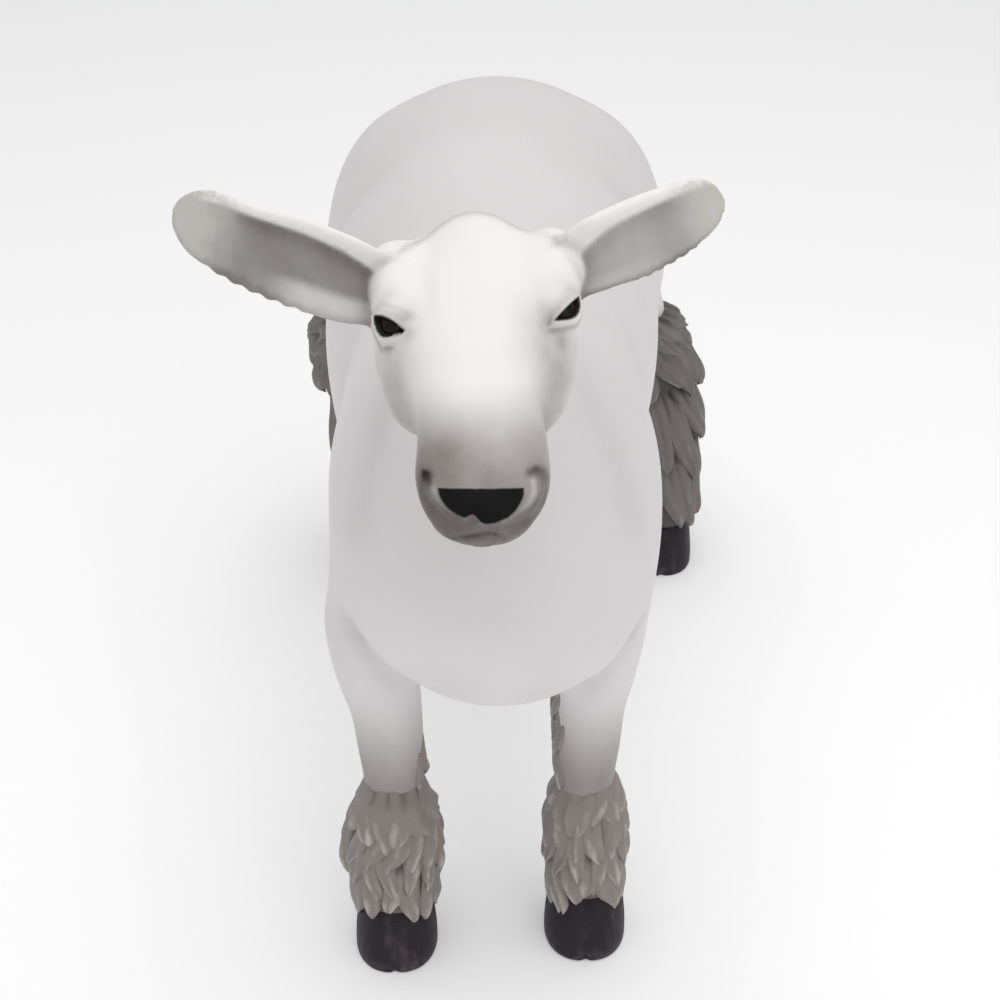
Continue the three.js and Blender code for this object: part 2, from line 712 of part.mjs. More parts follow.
// A hoof: two toes with a shallow cleft between them in front, a sloping wall and a flat sole.
function buildHoof(name) {
  const foot = FOOT[name];
  const around = 18;
  const levels = [[0, 0.98, 0], [6, 1, 0.02], [34, 0.97, 0.3], [60, 0.9, 0.75], [HOOF_TOP - GAP, 0.84, 1]];
  const rings = levels.map(([height, size, lean]) =>
    Array.from({ length: around }, (_, c) => {
      const angle = (2 * Math.PI * c) / around;
      const across = Math.sign(Math.cos(angle)) * Math.abs(Math.cos(angle)) ** HOOF.toeRound;
      const ahead = Math.sin(angle);
      const x = (across * HOOF.width * size) / 2;
      const notch = ahead < 0 ? HOOF.cleft * Math.exp(-((x / 7) ** 2)) : 0;
      const y = (ahead * HOOF.length * size) / 2 + notch + lean * HOOF.lean * (ahead < 0 ? 1 : 0.15);
      return [foot.x + x, foot.y + y, height];
    }),
  );
  return toSolid(loft(rings));
}

// ---------------------------------------------------------------- colours and assembly
function paint(colour, roughness) {
  return new THREE.MeshStandardMaterial({ color: colour, roughness, metalness: 0 });
}

const COLOURS = {
  body: paint(0xdad7d8, 0.42),
  face: paint(0xe6e4e4, 0.42),
  ear: paint(0xd2cfcc, 0.45),
  wool: paint(0x86827f, 0.6),
  hoof: paint(0x2e282c, 0.35),
  eye: paint(0x17161a, 0.15),
};

const sheep = new THREE.Group();
sheep.position.set(...STANDING_TO_CENTRE);

function place(name, solid, material) {
  const mesh = new THREE.Mesh(toGeometry(solid), material);
  mesh.name = name;
  sheep.add(mesh);
}

const trunk = buildTrunk();
const neck = buildNeck();
const head = buildHead();
place("trunk", trunk, COLOURS.body);
place("neck", neck, COLOURS.body);
place("head", head, COLOURS.face);
place("tail", buildTail(trunk), COLOURS.body);
for (const name of Object.keys(EAR_PLACE)) place(name, buildEar(name, head, neck), COLOURS.ear);
for (const name of ["eye_left", "eye_right"]) place(name, toSolid(eyeBall(name, 0)), COLOURS.eye);
for (const name of Object.keys(FOOT)) {
  place(name, buildLeg(name), COLOURS.body);
  place(`${name}_wool`, buildWool(name), COLOURS.wool);
  place(`${name}_hoof`, buildHoof(name), COLOURS.hoof);
}

export default sheep;
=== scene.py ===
"""The looks of a life-size sheep cast in resin and painted by hand: skin, wool cuffs, hooves, eyes.

Forms are worked out in millimetres in a standing frame whose origin is on the floor below the
forelegs, with the muzzle towards -Y and the sheep's left towards +X. Pieces are written in metres,
moved by STANDING_TO_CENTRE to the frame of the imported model.
"""

import logging
import math
from collections.abc import Callable
from dataclasses import dataclass, field
from enum import Enum

import bpy
import numpy as np
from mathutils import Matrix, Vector


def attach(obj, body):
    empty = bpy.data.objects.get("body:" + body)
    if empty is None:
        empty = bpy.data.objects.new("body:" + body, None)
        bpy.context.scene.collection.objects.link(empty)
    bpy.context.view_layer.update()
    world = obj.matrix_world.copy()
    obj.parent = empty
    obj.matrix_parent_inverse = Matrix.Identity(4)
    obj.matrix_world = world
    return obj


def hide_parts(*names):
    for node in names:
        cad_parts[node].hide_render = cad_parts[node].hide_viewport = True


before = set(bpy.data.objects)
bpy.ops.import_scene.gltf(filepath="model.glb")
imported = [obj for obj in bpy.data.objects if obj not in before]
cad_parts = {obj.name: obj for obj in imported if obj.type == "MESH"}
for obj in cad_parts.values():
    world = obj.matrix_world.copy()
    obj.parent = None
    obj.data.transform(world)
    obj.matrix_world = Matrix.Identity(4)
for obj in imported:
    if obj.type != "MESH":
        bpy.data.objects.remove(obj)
log = logging.getLogger("sheep")
Array = np.ndarray
STANDING_TO_CENTRE = np.array([-15.8, -237.7, 0.0])
MILLIMETRE = 0.001
FAR = 200.0
HEAD_MIDDLE = -14.0


# ---------------------------------------------------------------- shape maths
def smooth_columns(rows: tuple[tuple[float, ...], ...]) -> Callable[[Array], Array]:
    """Smooth curves through the columns of a table whose first column is the place.

    Between rows each column is a cubic. Its slope at a row is the mean of the slopes on both sides,
    held to three times the gentler one, and it is level at the ends and at a column's peaks.

    Args:
        rows: Rows of place and values, in rising order of place.

    Returns:
        A function from places to an array with one row per place and one column per value.
    """
    table = np.asarray(rows, float)
    places, values = table[:, 0], table[:, 1:]
    span = np.diff(places)[:, None]
    rise = np.diff(values, axis=0) / span
    before, after = rise[:-1], rise[1:]
    mean = (before + after) / 2
    limit = 3 * np.minimum(np.abs(before), np.abs(after))
    slope = np.zeros_like(values)
    slope[1:-1] = np.where(before * after > 0, np.sign(mean) * np.minimum(np.abs(mean), limit), 0)
    start, end = slope[:-1] * span, slope[1:] * span
    step = values[1:] - values[:-1]
    cubic = (values[:-1], start, 3 * step - 2 * start - end, start + end - 2 * step)

    def at(place: Array) -> Array:
        """The columns' values at each place, held past the first and last row."""
        held = np.clip(np.asarray(place, float), places[0], places[-1])
        row = np.clip(np.searchsorted(places, held, side="right") - 1, 0, len(places) - 2)
        t = ((held - places[row]) / span[row, 0])[..., None]
        a, b, c, d = (part[row] for part in cubic)
        return a + t * (b + t * (c + t * d))

    return at


def smooth_step(value: Array, low: float, high: float) -> Array:
    """A rise from 0 at low to 1 at high, level at both ends: 3 t squared less 2 t cubed."""
    t = np.clip((np.asarray(value, float) - low) / (high - low), 0, 1)
    return t * t * (3 - 2 * t)


def join(first: Array, second: Array, width: float) -> Array:
    """The smaller of two distances, rounded where they differ by less than the width."""
    h = np.maximum(width - np.abs(first - second), 0) / width
    return np.minimum(first, second) - h * h * width / 4


def carve(solid: Array, tool: Array, width: float) -> Array:
    """The solid less the tool, with a rounded edge as wide as the width."""
    return -join(-solid, tool, width)


def ellipsoid(points: Array, centre: tuple[float, ...], radii: tuple[float, ...]) -> Array:
    """Distance to an ellipsoid: its level k times (k - 1), over the length of its slope."""
    p = (points - centre) / radii
    level = np.sqrt((p * p).sum(1))
    slope = np.sqrt(((p / radii) ** 2).sum(1))
    return level * (level - 1) / np.maximum(slope, 1e-6)


def along_path(points: Array, path: Array) -> tuple[Array, Array]:
    """The nearest place on a line of straight pieces.

    Args:
        points: Places, one per row.
        path: The line's corners, one per row.

    Returns:
        The distance to the line, and how far along it the nearest place is, from 0 to 1.
    """
    lengths = np.linalg.norm(np.diff(path, axis=0), axis=1)
    starts = np.concatenate([[0.0], np.cumsum(lengths)])
    best = np.full(len(points), np.inf)
    place = np.zeros(len(points))
    for a, b, length, start in zip(path[:-1], path[1:], lengths, starts[:-1]):
        t = np.clip(((points - a) @ (b - a)) / length**2, 0, 1)
        away = np.linalg.norm(points - a - t[:, None] * (b - a), axis=1)
        place = np.where(away < best, start + t * length, place)
        best = np.minimum(away, best)
    return best, place / starts[-1]


def bent(points: Array, samples: int = 24) -> Array:
    """A smooth line through a few points, as many short straight pieces."""
    rows = np.column_stack([np.linspace(0, 1, len(points)), points])
    return smooth_columns(tuple(map(tuple, rows)))(np.linspace(0, 1, samples))


@dataclass(frozen=True)
class Box:
    """A box of space in the standing frame, by its lowest and its highest corner."""

    low: tuple[float, ...]
    high: tuple[float, ...]

    def holds(self, points: Array) -> Array:
        """Which points lie inside."""
        return np.all((points > self.low) & (points < self.high), axis=1)

    def only(self, points: Array, form: Callable[[Array], Array]) -> Array:
        """Works a form out only inside the box, and counts it as far away outside."""
        values = np.full(len(points), FAR)
        near = self.holds(points)
        if near.any():
            values[near] = form(points[near])
        return values

    def mirrored(self) -> "Box":
        """The same box on the other side of the body."""
        return Box((-self.high[0], *self.low[1:]), (-self.low[0], *self.high[1:]))


class Tapered:
    """A body whose cross-section swells and shrinks along an axis.

    The section is a superellipse: across over half width, and rise over half height, each raised to
    the power, add up to one. Above and below its middle it has heights of its own.
    """

    def __init__(self, stations: tuple[tuple[float, ...], ...], power: float) -> None:
        """Takes rows of place, side offset, height offset, half width, height up, height down."""
        self.first = stations[0][0]
        self.last = stations[-1][0]
        self.power = power
        self.columns = smooth_columns(stations)

    def __call__(self, along: Array, across: Array, rise: Array) -> Array:
        """Signed distance, with flat ends rounded off outside."""
        side, height, half, up, down = self.columns(along).T
        u = across - side
        v = rise - height
        a = np.maximum(half, 0.5)
        b = np.maximum(np.where(v > 0, up, down), 0.5)
        reach = np.hypot(u, v)
        level = (np.abs(u / a) ** self.power + np.abs(v / b) ** self.power) ** (1 / self.power)
        round_ = np.where(level > 1e-6, reach - reach / np.maximum(level, 1e-6), -np.minimum(a, b))
        beyond = np.maximum(self.first - along, along - self.last)
        outside = np.hypot(np.maximum(round_, 0), np.maximum(beyond, 0))
        return np.where(beyond > 0, outside, np.maximum(round_, beyond))


# ---------------------------------------------------------------- the sheep's forms
class Side(Enum):
    """The sheep's own left and right, as the sign of x."""

    LEFT = 1
    RIGHT = -1


class Limb(Enum):
    """A leg's node name, with its foot's place on the floor."""

    FORE_LEFT = ("foreleg_left", 88.0, 27.0)
    FORE_RIGHT = ("foreleg_right", -98.0, 11.0)
    HIND_LEFT = ("hindleg_left", 210.0, 708.0)
    HIND_RIGHT = ("hindleg_right", -160.0, 693.0)

    @property
    def node(self) -> str:
        """The CAD node's name."""
        return self.value[0]

    @property
    def foot(self) -> tuple[float, float]:
        """The hoof's middle, across and along."""
        return self.value[1], self.value[2]

    @property
    def sign(self) -> float:
        """Plus one on the sheep's left."""
        return math.copysign(1.0, self.value[1])

    @property
    def is_fore(self) -> bool:
        """Whether it is a foreleg."""
        return self.value[0].startswith("fore")


@dataclass(frozen=True)
class HeadFrame:
    """The head's own axes: along the face from the poll, out to the sheep's left, up from the brow.

    The face slopes down from the poll, turns slightly to the left, and tilts sideways about an axis
    below the brow line, less so at the muzzle than at the eyes.
    """

    poll: tuple[float, float, float] = (-14.5, -120.0, 822.0)
    turn: float = 0.038
    slope: float = math.radians(25)
    tilt_at_eyes: float = math.radians(7)
    tilt_at_muzzle: float = math.radians(0.5)
    tilt_height: float = -32.0
    tilt_fades: tuple[float, float] = (90.0, 200.0)

    def tilt(self, along: Array) -> Array:
        """The sideways tilt at a place along the face."""
        fade = smooth_step(along, *self.tilt_fades)
        return self.tilt_at_eyes + (self.tilt_at_muzzle - self.tilt_at_eyes) * fade

    def inward(self, points: Array) -> Array:
        """From the standing frame to the head's own, row by row."""
        x, y, z = (points - self.poll).T
        along = -y * math.cos(self.slope) - z * math.sin(self.slope)
        rise = -y * math.sin(self.slope) + z * math.cos(self.slope)
        tilt = self.tilt(along)
        u = x - self.turn * along
        v = rise - self.tilt_height
        out = u * np.cos(tilt) + v * np.sin(tilt)
        up = v * np.cos(tilt) - u * np.sin(tilt) + self.tilt_height
        return np.stack([along, out, up], axis=1)

    def outward(self, places: Array) -> Array:
        """From the head's own frame to the standing frame, row by row."""
        along, out, up = np.atleast_2d(np.asarray(places, float)).T
        tilt = self.tilt(along)
        v = up - self.tilt_height
        u = out * np.cos(tilt) - v * np.sin(tilt)
        rise = out * np.sin(tilt) + v * np.cos(tilt) + self.tilt_height
        x = u + self.turn * along
        y = -along * math.cos(self.slope) - rise * math.sin(self.slope)
        z = -along * math.sin(self.slope) + rise * math.cos(self.slope)
        return np.stack([x, y, z], axis=1) + self.poll


@dataclass(frozen=True)
class Boss:
    """A swelling of the body or the skull: its middle, its radii and how softly it joins.

    The lean is how far to the left a pair of them is moved.
    """

    at: tuple[float, float, float]
    size: tuple[float, float, float]
    soft: float
    lean: float = 0.0

    def added(self, form: Array, points: Array) -> Array:
        """The form with the swelling joined to it."""
        return join(form, ellipsoid(points, self.at, self.size), self.soft)


# Rows of place along, side offset, height or offset above the line, half width, height up and down.
TRUNK = (
    (-90, 0, 500, 20, 20, 20), (-60, 0, 500, 86, 116, 118), (-20, -1, 503, 106, 158, 152),
    (50, -3, 508, 115, 178, 162), (150, -4, 512, 139, 180, 158), (300, -4, 512, 163, 175, 158),
    (450, -2, 515, 168, 172, 154), (560, 0, 516, 163, 160, 138), (640, 0, 516, 148, 138, 118),
    (700, 0, 518, 110, 102, 90), (740, 0, 520, 30, 30, 30),
)
NECK = (
    (-60, 0, 0, 90, 108, 110), (20, 0, 0, 102, 122, 120), (100, 0, 0, 90, 107, 106),
    (180, 0, 0, 74, 84, 88), (240, 0, 0, 60, 50, 70), (285, 0, 0, 48, 28, 54),
    (315, 0, 0, 22, 12, 24),
)
FACE = (
    (-38, 0, -52, 10, 8, 10), (-28, 0, -52, 36, 27, 38), (-6, 0, -50, 56, 40, 56),
    (28, 0, -46, 67, 43, 64), (55, -3, -44, 67, 43, 62), (88, -4.5, -40, 57, 42, 56),
    (120, -4, -37, 46, 41, 48), (150, -1, -33, 44, 38, 42), (172, 0, -30, 44.5, 35, 37),
    (196, -0.5, -26, 45.5, 29.5, 30), (216, -1, -25, 42.5, 26, 25), (232, -2, -25, 35.5, 21, 19),
    (244, -3, -26, 25, 14, 12), (250, -3, -27, 10, 5, 5),
)
JAW = (
    (5, 0, -90, 10, 10, 10), (20, 0, -90, 34, 36, 36), (60, 0, -92, 40, 38, 42),
    (110, 0, -82, 36, 36, 36), (160, 0, -68, 31, 32, 26), (198, 0, -52, 30, 24, 17),
    (220, 0, -45, 25, 16, 11), (234, 0, -42, 10, 7, 5),
)
BRISKET = Boss((5, -20, 478), (116, 106, 132), 80)
RUMP = Boss((0, 600, 505), (158, 172, 152), 60)
SHOULDERS = Boss((73, 35, 490), (46, 104, 130), 40)
HAUNCHES = Boss((102, 595, 480), (72, 132, 136), 50)
# In the head's own frame: poll, brows, roots of the ears, cheeks and corners of the jaw.
SKULL = (
    Boss((-4, 0, -25), (34, 27, 18), 14), Boss((47, 56, -24), (30, 19, 18), 14),
    Boss((14, 56, -30), (28, 25, 22), 14), Boss((78, 44, -60), (49, 27, 34), 24, -5),
    Boss((58, 34, -88), (46, 22, 34), 26, -5),
)
# Rows of height, outward offset, place along the body, half width and half depth.
FORELEG = (
    (40, 0, 0, 24, 26), (75, 0, 4, 29, 32), (105, -1, 8, 31, 36), (150, -2, 10, 26, 30),
    (200, -2, 6, 27.5, 31), (240, -1, 2, 30.5, 34), (280, 1, 4, 33, 37), (320, 6, 8, 38, 46),
    (370, 8, 10, 43, 60), (430, 4, 12, 44, 74), (500, -4, 16, 45, 82), (560, -10, 24, 38, 68),
    (600, -30, 34, 20, 30),
)
HINDLEG = (
    (40, 0, 0, 24, 26), (75, 0, 4, 28, 32), (110, -4, 15, 30, 36), (160, -8, 32, 25, 29),
    (230, -12, 50, 26, 32), (280, -16, 55, 30, 42), (315, -22, 42, 32, 48), (350, -32, 16, 38, 58),
    (390, -50, -15, 47, 78), (440, -66, -45, 52, 98), (500, -88, -68, 54, 108),
    (560, -120, -85, 46, 86), (600, -145, -90, 20, 30),
)


@dataclass(frozen=True)
class LegForm:
    """One leg: its middle goes from over its foot to the hip as it rises, and leans with its pose."""

    limb: Limb
    hip_fore: float = 89.0
    hip_hind: float = 197.0
    hip_span: tuple[float, float] = (180.0, 330.0)
    lean_height: float = 400.0
    lean_right: float = -18.0
    forearm_height: float = 350.0
    forearm_spread: float = 100.0
    forearm_right: float = 15.0
    forearm_left: float = -4.0

    @property
    def stations(self) -> tuple[tuple[float, ...], ...]:
        """The rows of height, outward offset, place along the body, half width, half depth."""
        return FORELEG if self.limb.is_fore else HINDLEG

    def middle(self, height: Array) -> Array:
        """Where the leg's middle lies across the body, before its own outward offset."""
        foot = self.limb.foot[0]
        hip = self.limb.sign * (self.hip_fore if self.limb.is_fore else self.hip_hind)
        return foot + (hip - foot) * smooth_step(height, *self.hip_span)

    def table(self) -> tuple[tuple[float, ...], ...]:
        """Rows of height, place across, place along the body, half width and half depth."""
        rows = np.asarray(self.stations, float)
        height, out, along, half, depth = rows.T
        rest = Limb.FORE_LEFT.foot[1] if self.limb.is_fore else self.limb.foot[1]
        if self.limb.is_fore:
            forearm = np.exp(-(((height - self.forearm_height) / self.forearm_spread) ** 2))
            on_left = self.limb.sign > 0
            out = out + forearm * (self.forearm_left if on_left else self.forearm_right)
            lean = 0.0 if on_left else self.lean_right
            along = along + lean * np.maximum(0, 1 - height / self.lean_height)
        side = self.middle(height) + self.limb.sign * out
        return tuple(map(tuple, np.column_stack([height, side, rest + along, half, depth])))

    def tube(self) -> Tapered:
        """The leg as a tapered body along the height."""
        return Tapered(tuple((*row, row[-1]) for row in self.table()), 2.15)


class SheepForm:
    """The whole sheep as one signed distance, from smooth joins of tapered bodies and ellipsoids."""

    neck_foot = (60.0, 530.0)
    neck_top = (-125.0, 765.0)
    tail_root = ((0.0, 722.0, 596.0), (0.0, 764.0, 548.0))
    tail_end = (0.0, 774.0, 440.0)
    tail_radius = 27.0
    tail_taper = 10.0
    neck_box = Box((-210, -330, 400), (210, 210, 920))
    head_box = Box((-160, -420, 560), (140, 20, 920))
    tail_box = Box((-80, 640, 380), (80, 860, 680))
    foreleg_box = Box((-20, -160, 0), (260, 220, 680))
    hindleg_box = Box((-20, 430, 0), (330, 860, 680))

    def __init__(self) -> None:
        """Prepares the curves of every tapered body."""
        self.head_frame = HeadFrame()
        self.trunk_tube = Tapered(TRUNK, 2.1)
        self.neck_tube = Tapered(NECK, 2.1)
        self.face_tube = Tapered(FACE, 2.2)
        self.jaw_tube = Tapered(JAW, 2.1)
        self.legs = {limb: LegForm(limb).tube() for limb in Limb}

    def trunk(self, points: Array) -> Array:
        """Barrel, breast, rump, shoulders and haunches."""
        x, y, z = points.T
        sides = np.stack([np.abs(x), y, z], axis=1)
        form = self.trunk_tube(y, x, z)
        form = RUMP.added(BRISKET.added(form, points), points)
        return HAUNCHES.added(SHOULDERS.added(form, sides), sides)

    def neck(self, points: Array) -> Array:
        """A tapered body from inside the shoulders to the back of the skull."""
        x, y, z = points.T
        run = self.neck_top[0] - self.neck_foot[0]
        climb = self.neck_top[1] - self.neck_foot[1]
        length = math.hypot(run, climb)
        along = ((y - self.neck_foot[0]) * run + (z - self.neck_foot[1]) * climb) / length
        nape = ((y - self.neck_foot[0]) * climb - (z - self.neck_foot[1]) * run) / length
        bend = self.head_frame.poll[0] * np.clip(along / length, 0, 1)
        return self.neck_tube(along, x - bend, nape)

    def head(self, points: Array) -> Array:
        """The face's tube, the jaw below it, and the skull's bosses on each side."""
        along, out, up = self.head_frame.inward(points).T
        form = join(self.face_tube(along, out, up), self.jaw_tube(along, out, up), 26)
        for boss in SKULL:
            sides = np.stack([along, np.abs(out - boss.lean), up], axis=1)
            form = boss.added(form, sides)
        return form

    def tail(self, points: Array) -> Array:
        """A short docked tail: a thick root, and a tapering length that hangs from it."""
        root = along_path(points, np.array(self.tail_root))[0] - self.tail_radius
        away, place = along_path(points, np.array([self.tail_root[1], self.tail_end]))
        return join(root, away - (self.tail_radius - self.tail_taper * place), 12)

    def body(self, points: Array) -> Array:
        """Everything but the ears."""
        form = join(self.trunk(points), self.neck_box.only(points, self.neck), 80)
        for limb, tube in self.legs.items():
            box = self.foreleg_box if limb.is_fore else self.hindleg_box
            box = box if limb.sign > 0 else box.mirrored()
            leg = box.only(points, lambda p, tube=tube: tube(p[:, 2], p[:, 0], p[:, 1]))
            form = join(form, leg, 35 if limb.is_fore else 50)
        form = join(form, self.head_box.only(points, self.head), 32)
        return join(form, self.tail_box.only(points, self.tail), 18)


# ---------------------------------------------------------------- eyes, muzzle and creases
@dataclass(frozen=True)
class Eye:
    """One eye in the head's own frame: its ball, the way its opening faces, and the lids' angles.

    Angles are measured at the ball's middle, along the slit and across it. The lid is a shell of
    that thickness, the fold is how deep the folds round it go, and the rim how high its edge stands.
    """

    node: str
    centre: tuple[float, float, float]
    look: tuple[float, float, float]
    slit: tuple[float, float, float]
    upper: float
    lower: float
    radius: float = 13.5
    half_slit: float = 52.0
    lid: float = 1.9
    fold: float = 1.5
    rim: float = 0.6
    opening_depth: float = 3.0

    def axes(self) -> Array:
        """Three unit rows: the slit's direction forwards, across it upwards, and out of the head."""
        look = np.array(self.look) / np.linalg.norm(self.look)
        slit = np.array(self.slit) - look * (look @ np.array(self.slit))
        slit /= np.linalg.norm(slit)
        across = np.cross(look, slit)
        return np.stack([slit, across * np.sign(across[2]), look])

    def measure(self, places: Array) -> tuple[Array, Array, Array]:
        """How places lie to the opening.

        The opening is an almond on the ball: its two edges are the upper and lower angle times one
        less the square of the place along the slit, to the power 1 above and 1.25 below.

        Args:
            places: Rows of the head's own coordinates.

        Returns:
            The distance from the ball's middle, the distance outside the opening along the ball's
            surface, and the angle across the slit, all in millimetres or radians.
        """
        slit, across, out = ((places - self.centre) @ self.axes().T).T
        reach = np.sqrt(slit**2 + across**2 + out**2) + 1e-6
        along = np.arctan2(slit, np.maximum(out, 0.2 * reach))
        over = np.arcsin(np.clip(across / reach, -1, 1))
        level = np.abs(along) / math.radians(self.half_slit)
        fade = np.maximum(1 - level**2, 0) ** np.where(over > 0, 1.0, 1.25)
        past = np.maximum(level - 1, 0) * math.radians(self.half_slit)
        edge = np.where(over > 0, math.radians(self.upper), math.radians(self.lower)) * fade
        outside = (np.abs(over) - edge) + past
        return reach, np.maximum(outside * self.radius, -out), over


EYES = (
    Eye("eye_right", (66, -57.5, -25), (0.39, -0.305, 0.869), (0.647, 0.728, 0.20), 10, 35),
    Eye("eye_left", (64, 60, -24.5), (0.372, 0.538, 0.756), (0.776, -0.612, 0.122), 6, 27),
)


@dataclass(frozen=True)
class MuzzleLine:
    """A groove or ridge on the muzzle's front, drawn on the plane that faces up and forwards.

    Its points are places across the muzzle and down it; a positive depth cuts in, a negative one
    stands proud. The wash is the dark glaze and painted shade laid along it; a negative wash
    lightens a ridge as a painted highlight.
    """

    points: tuple[tuple[float, float], ...]
    depth: float
    width: float
    wash_and_shade: float
    wash_and_shade_width: float = 3.0

    def away(self, flat: Array) -> Array:
        """The distance from places on the muzzle's plane to the line."""
        return along_path(flat, bent(np.array(self.points, float), 8))[0]


NOSTRIL_PITS = (
    MuzzleLine(((-37.8, 168.0), (-36.8, 171.2)), 6.0, 2.6, 0.8, 3.2),
    MuzzleLine(((31.0, 166.5), (34.0, 165.0)), 4.5, 2.6, 0.75, 3.2),
)
MUZZLE_LINES = (
    MuzzleLine(((-38.0, 168), (-40.0, 177), (-35.0, 187), (-27.0, 195), (-17.0, 200)),
               2.8, 3.2, 0.9, 5.2),
    MuzzleLine(((38.5, 167), (42.0, 176), (38.0, 187), (29.5, 194.5), (17.0, 199.5)),
               2.8, 3.2, 0.85, 4.8),
    MuzzleLine(((-34.5, 171), (-34.0, 180), (-28.5, 188.5), (-21.0, 194.5), (-13.5, 196)),
               -2.4, 2.4, -0.22),
    MuzzleLine(((32.5, 171), (33.0, 178), (28.0, 187), (20.5, 193), (12.5, 197)),
               -2.8, 2.6, -0.3),
    MuzzleLine(((-7.0, 189), (-7.0, 200)), 1.4, 1.6, 0.25),
    MuzzleLine(((-21.5, 207.0), (-11.4, 206.6), (-3.3, 205.2), (1.7, 204.5), (6.8, 205.8),
                (12.5, 207.0)), 4.2, 1.9, 0.95, 3.0),
)
MUZZLE_VIEW = np.array([0.63, 0.0, 0.775])
MUZZLE_DOWN = np.array([0.775, 0.0, -0.63])


def muzzle_plane(places: Array) -> Array:
    """From the head's own coordinates to places across and down the muzzle's front."""
    return np.stack([places[:, 1], places @ MUZZLE_DOWN], axis=1)


def muzzle_front(places: Array) -> Array:
    """One on the front of the muzzle, fading to nothing behind it."""
    return smooth_step(places @ MUZZLE_VIEW, 104, 118) * smooth_step(places[:, 0], 190, 204)


@dataclass(frozen=True)
class Crease:
    """A soft groove in the body's surface along a bent line, with dark glaze and painted shade in it.
    """

    points: tuple[tuple[float, float, float], ...]
    depth: float
    width: float
    wash_and_shade: float
    wash_and_shade_width: float

    def fall(self, points: Array, width: float) -> Array:
        """A bell over the distance to the line, weaker towards its two ends."""
        path = bent(np.array(self.points, float), 10)
        reach = 2.6 * width
        bell = np.zeros(len(points))
        near = Box(tuple(path.min(0) - reach), tuple(path.max(0) + reach)).holds(points)
        if near.any():
            away, place = along_path(points[near], path)
            ends = smooth_step(place, 0, 0.25) * (1 - smooth_step(place, 0.75, 1))
            bell[near] = np.maximum(np.exp(-((away / width) ** 2)) - 0.0012, 0) * ends
        return bell


def both_sides(points: tuple[tuple[float, float, float], ...], *rest: float) -> tuple[Crease, ...]:
    """The same crease on the sheep's left and right."""
    mirrored = tuple((-x, y, z) for x, y, z in points)
    return Crease(points, *rest), Crease(mirrored, *rest)


CREASES = (
    *both_sides(((-136, -30, 440), (-118, -42, 385), (-92, -30, 340), (-60, -4, 312)),
                4.5, 13, 0.30, 15),
    *both_sides(((-66, -66, 700), (-96, -64, 626), (-112, -70, 560), (-118, -62, 500)),
                3.0, 15, 0.12, 15),
    *both_sides(((-98, 128, 640), (-128, 150, 560), (-132, 160, 470), (-112, 140, 400)),
                4.0, 22, 0.06, 20),
    *both_sides(((-86, 395, 668), (-128, 425, 610), (-150, 455, 530), (-140, 470, 430)),
                5.0, 30, 0.05, 26),
    *both_sides(((-60, 640, 640), (-90, 690, 560), (-96, 715, 470), (-84, 700, 400)),
                3.0, 16, 0.10, 16),
)


# Soft grey shadows painted on the face: where in the head's own frame, their reach, how dark.
FACE_SHADES = (
    ((87, -59, -27), (6, 6, 6), 0.34), ((87, -45, -11), (6, 6, 8), 0.30),
    ((89, 60, -28), (6, 6, 6), 0.26), ((85, 50, -13), (6, 5, 8), 0.18),
    ((50, -60, -12), (7, 8, 9), 0.24), ((72, -47, -8), (9, 6, 8), 0.24),
    ((52, 64, -12), (8, 8, 9), 0.16), ((74, 50, -10), (9, 6, 8), 0.16),
    ((64, -76, -70), (44, 16, 36), 0.42), ((66, 66, -68), (44, 14, 36), 0.34),
    ((116, -60, -46), (34, 16, 26), 0.50), ((116, 54, -42), (34, 16, 26), 0.46),
    ((86, -54, -30), (28, 16, 28), 0.30), ((86, 44, -26), (30, 18, 28), 0.34),
    ((58, -28, 12), (20, 4, 30), 0.08),
)


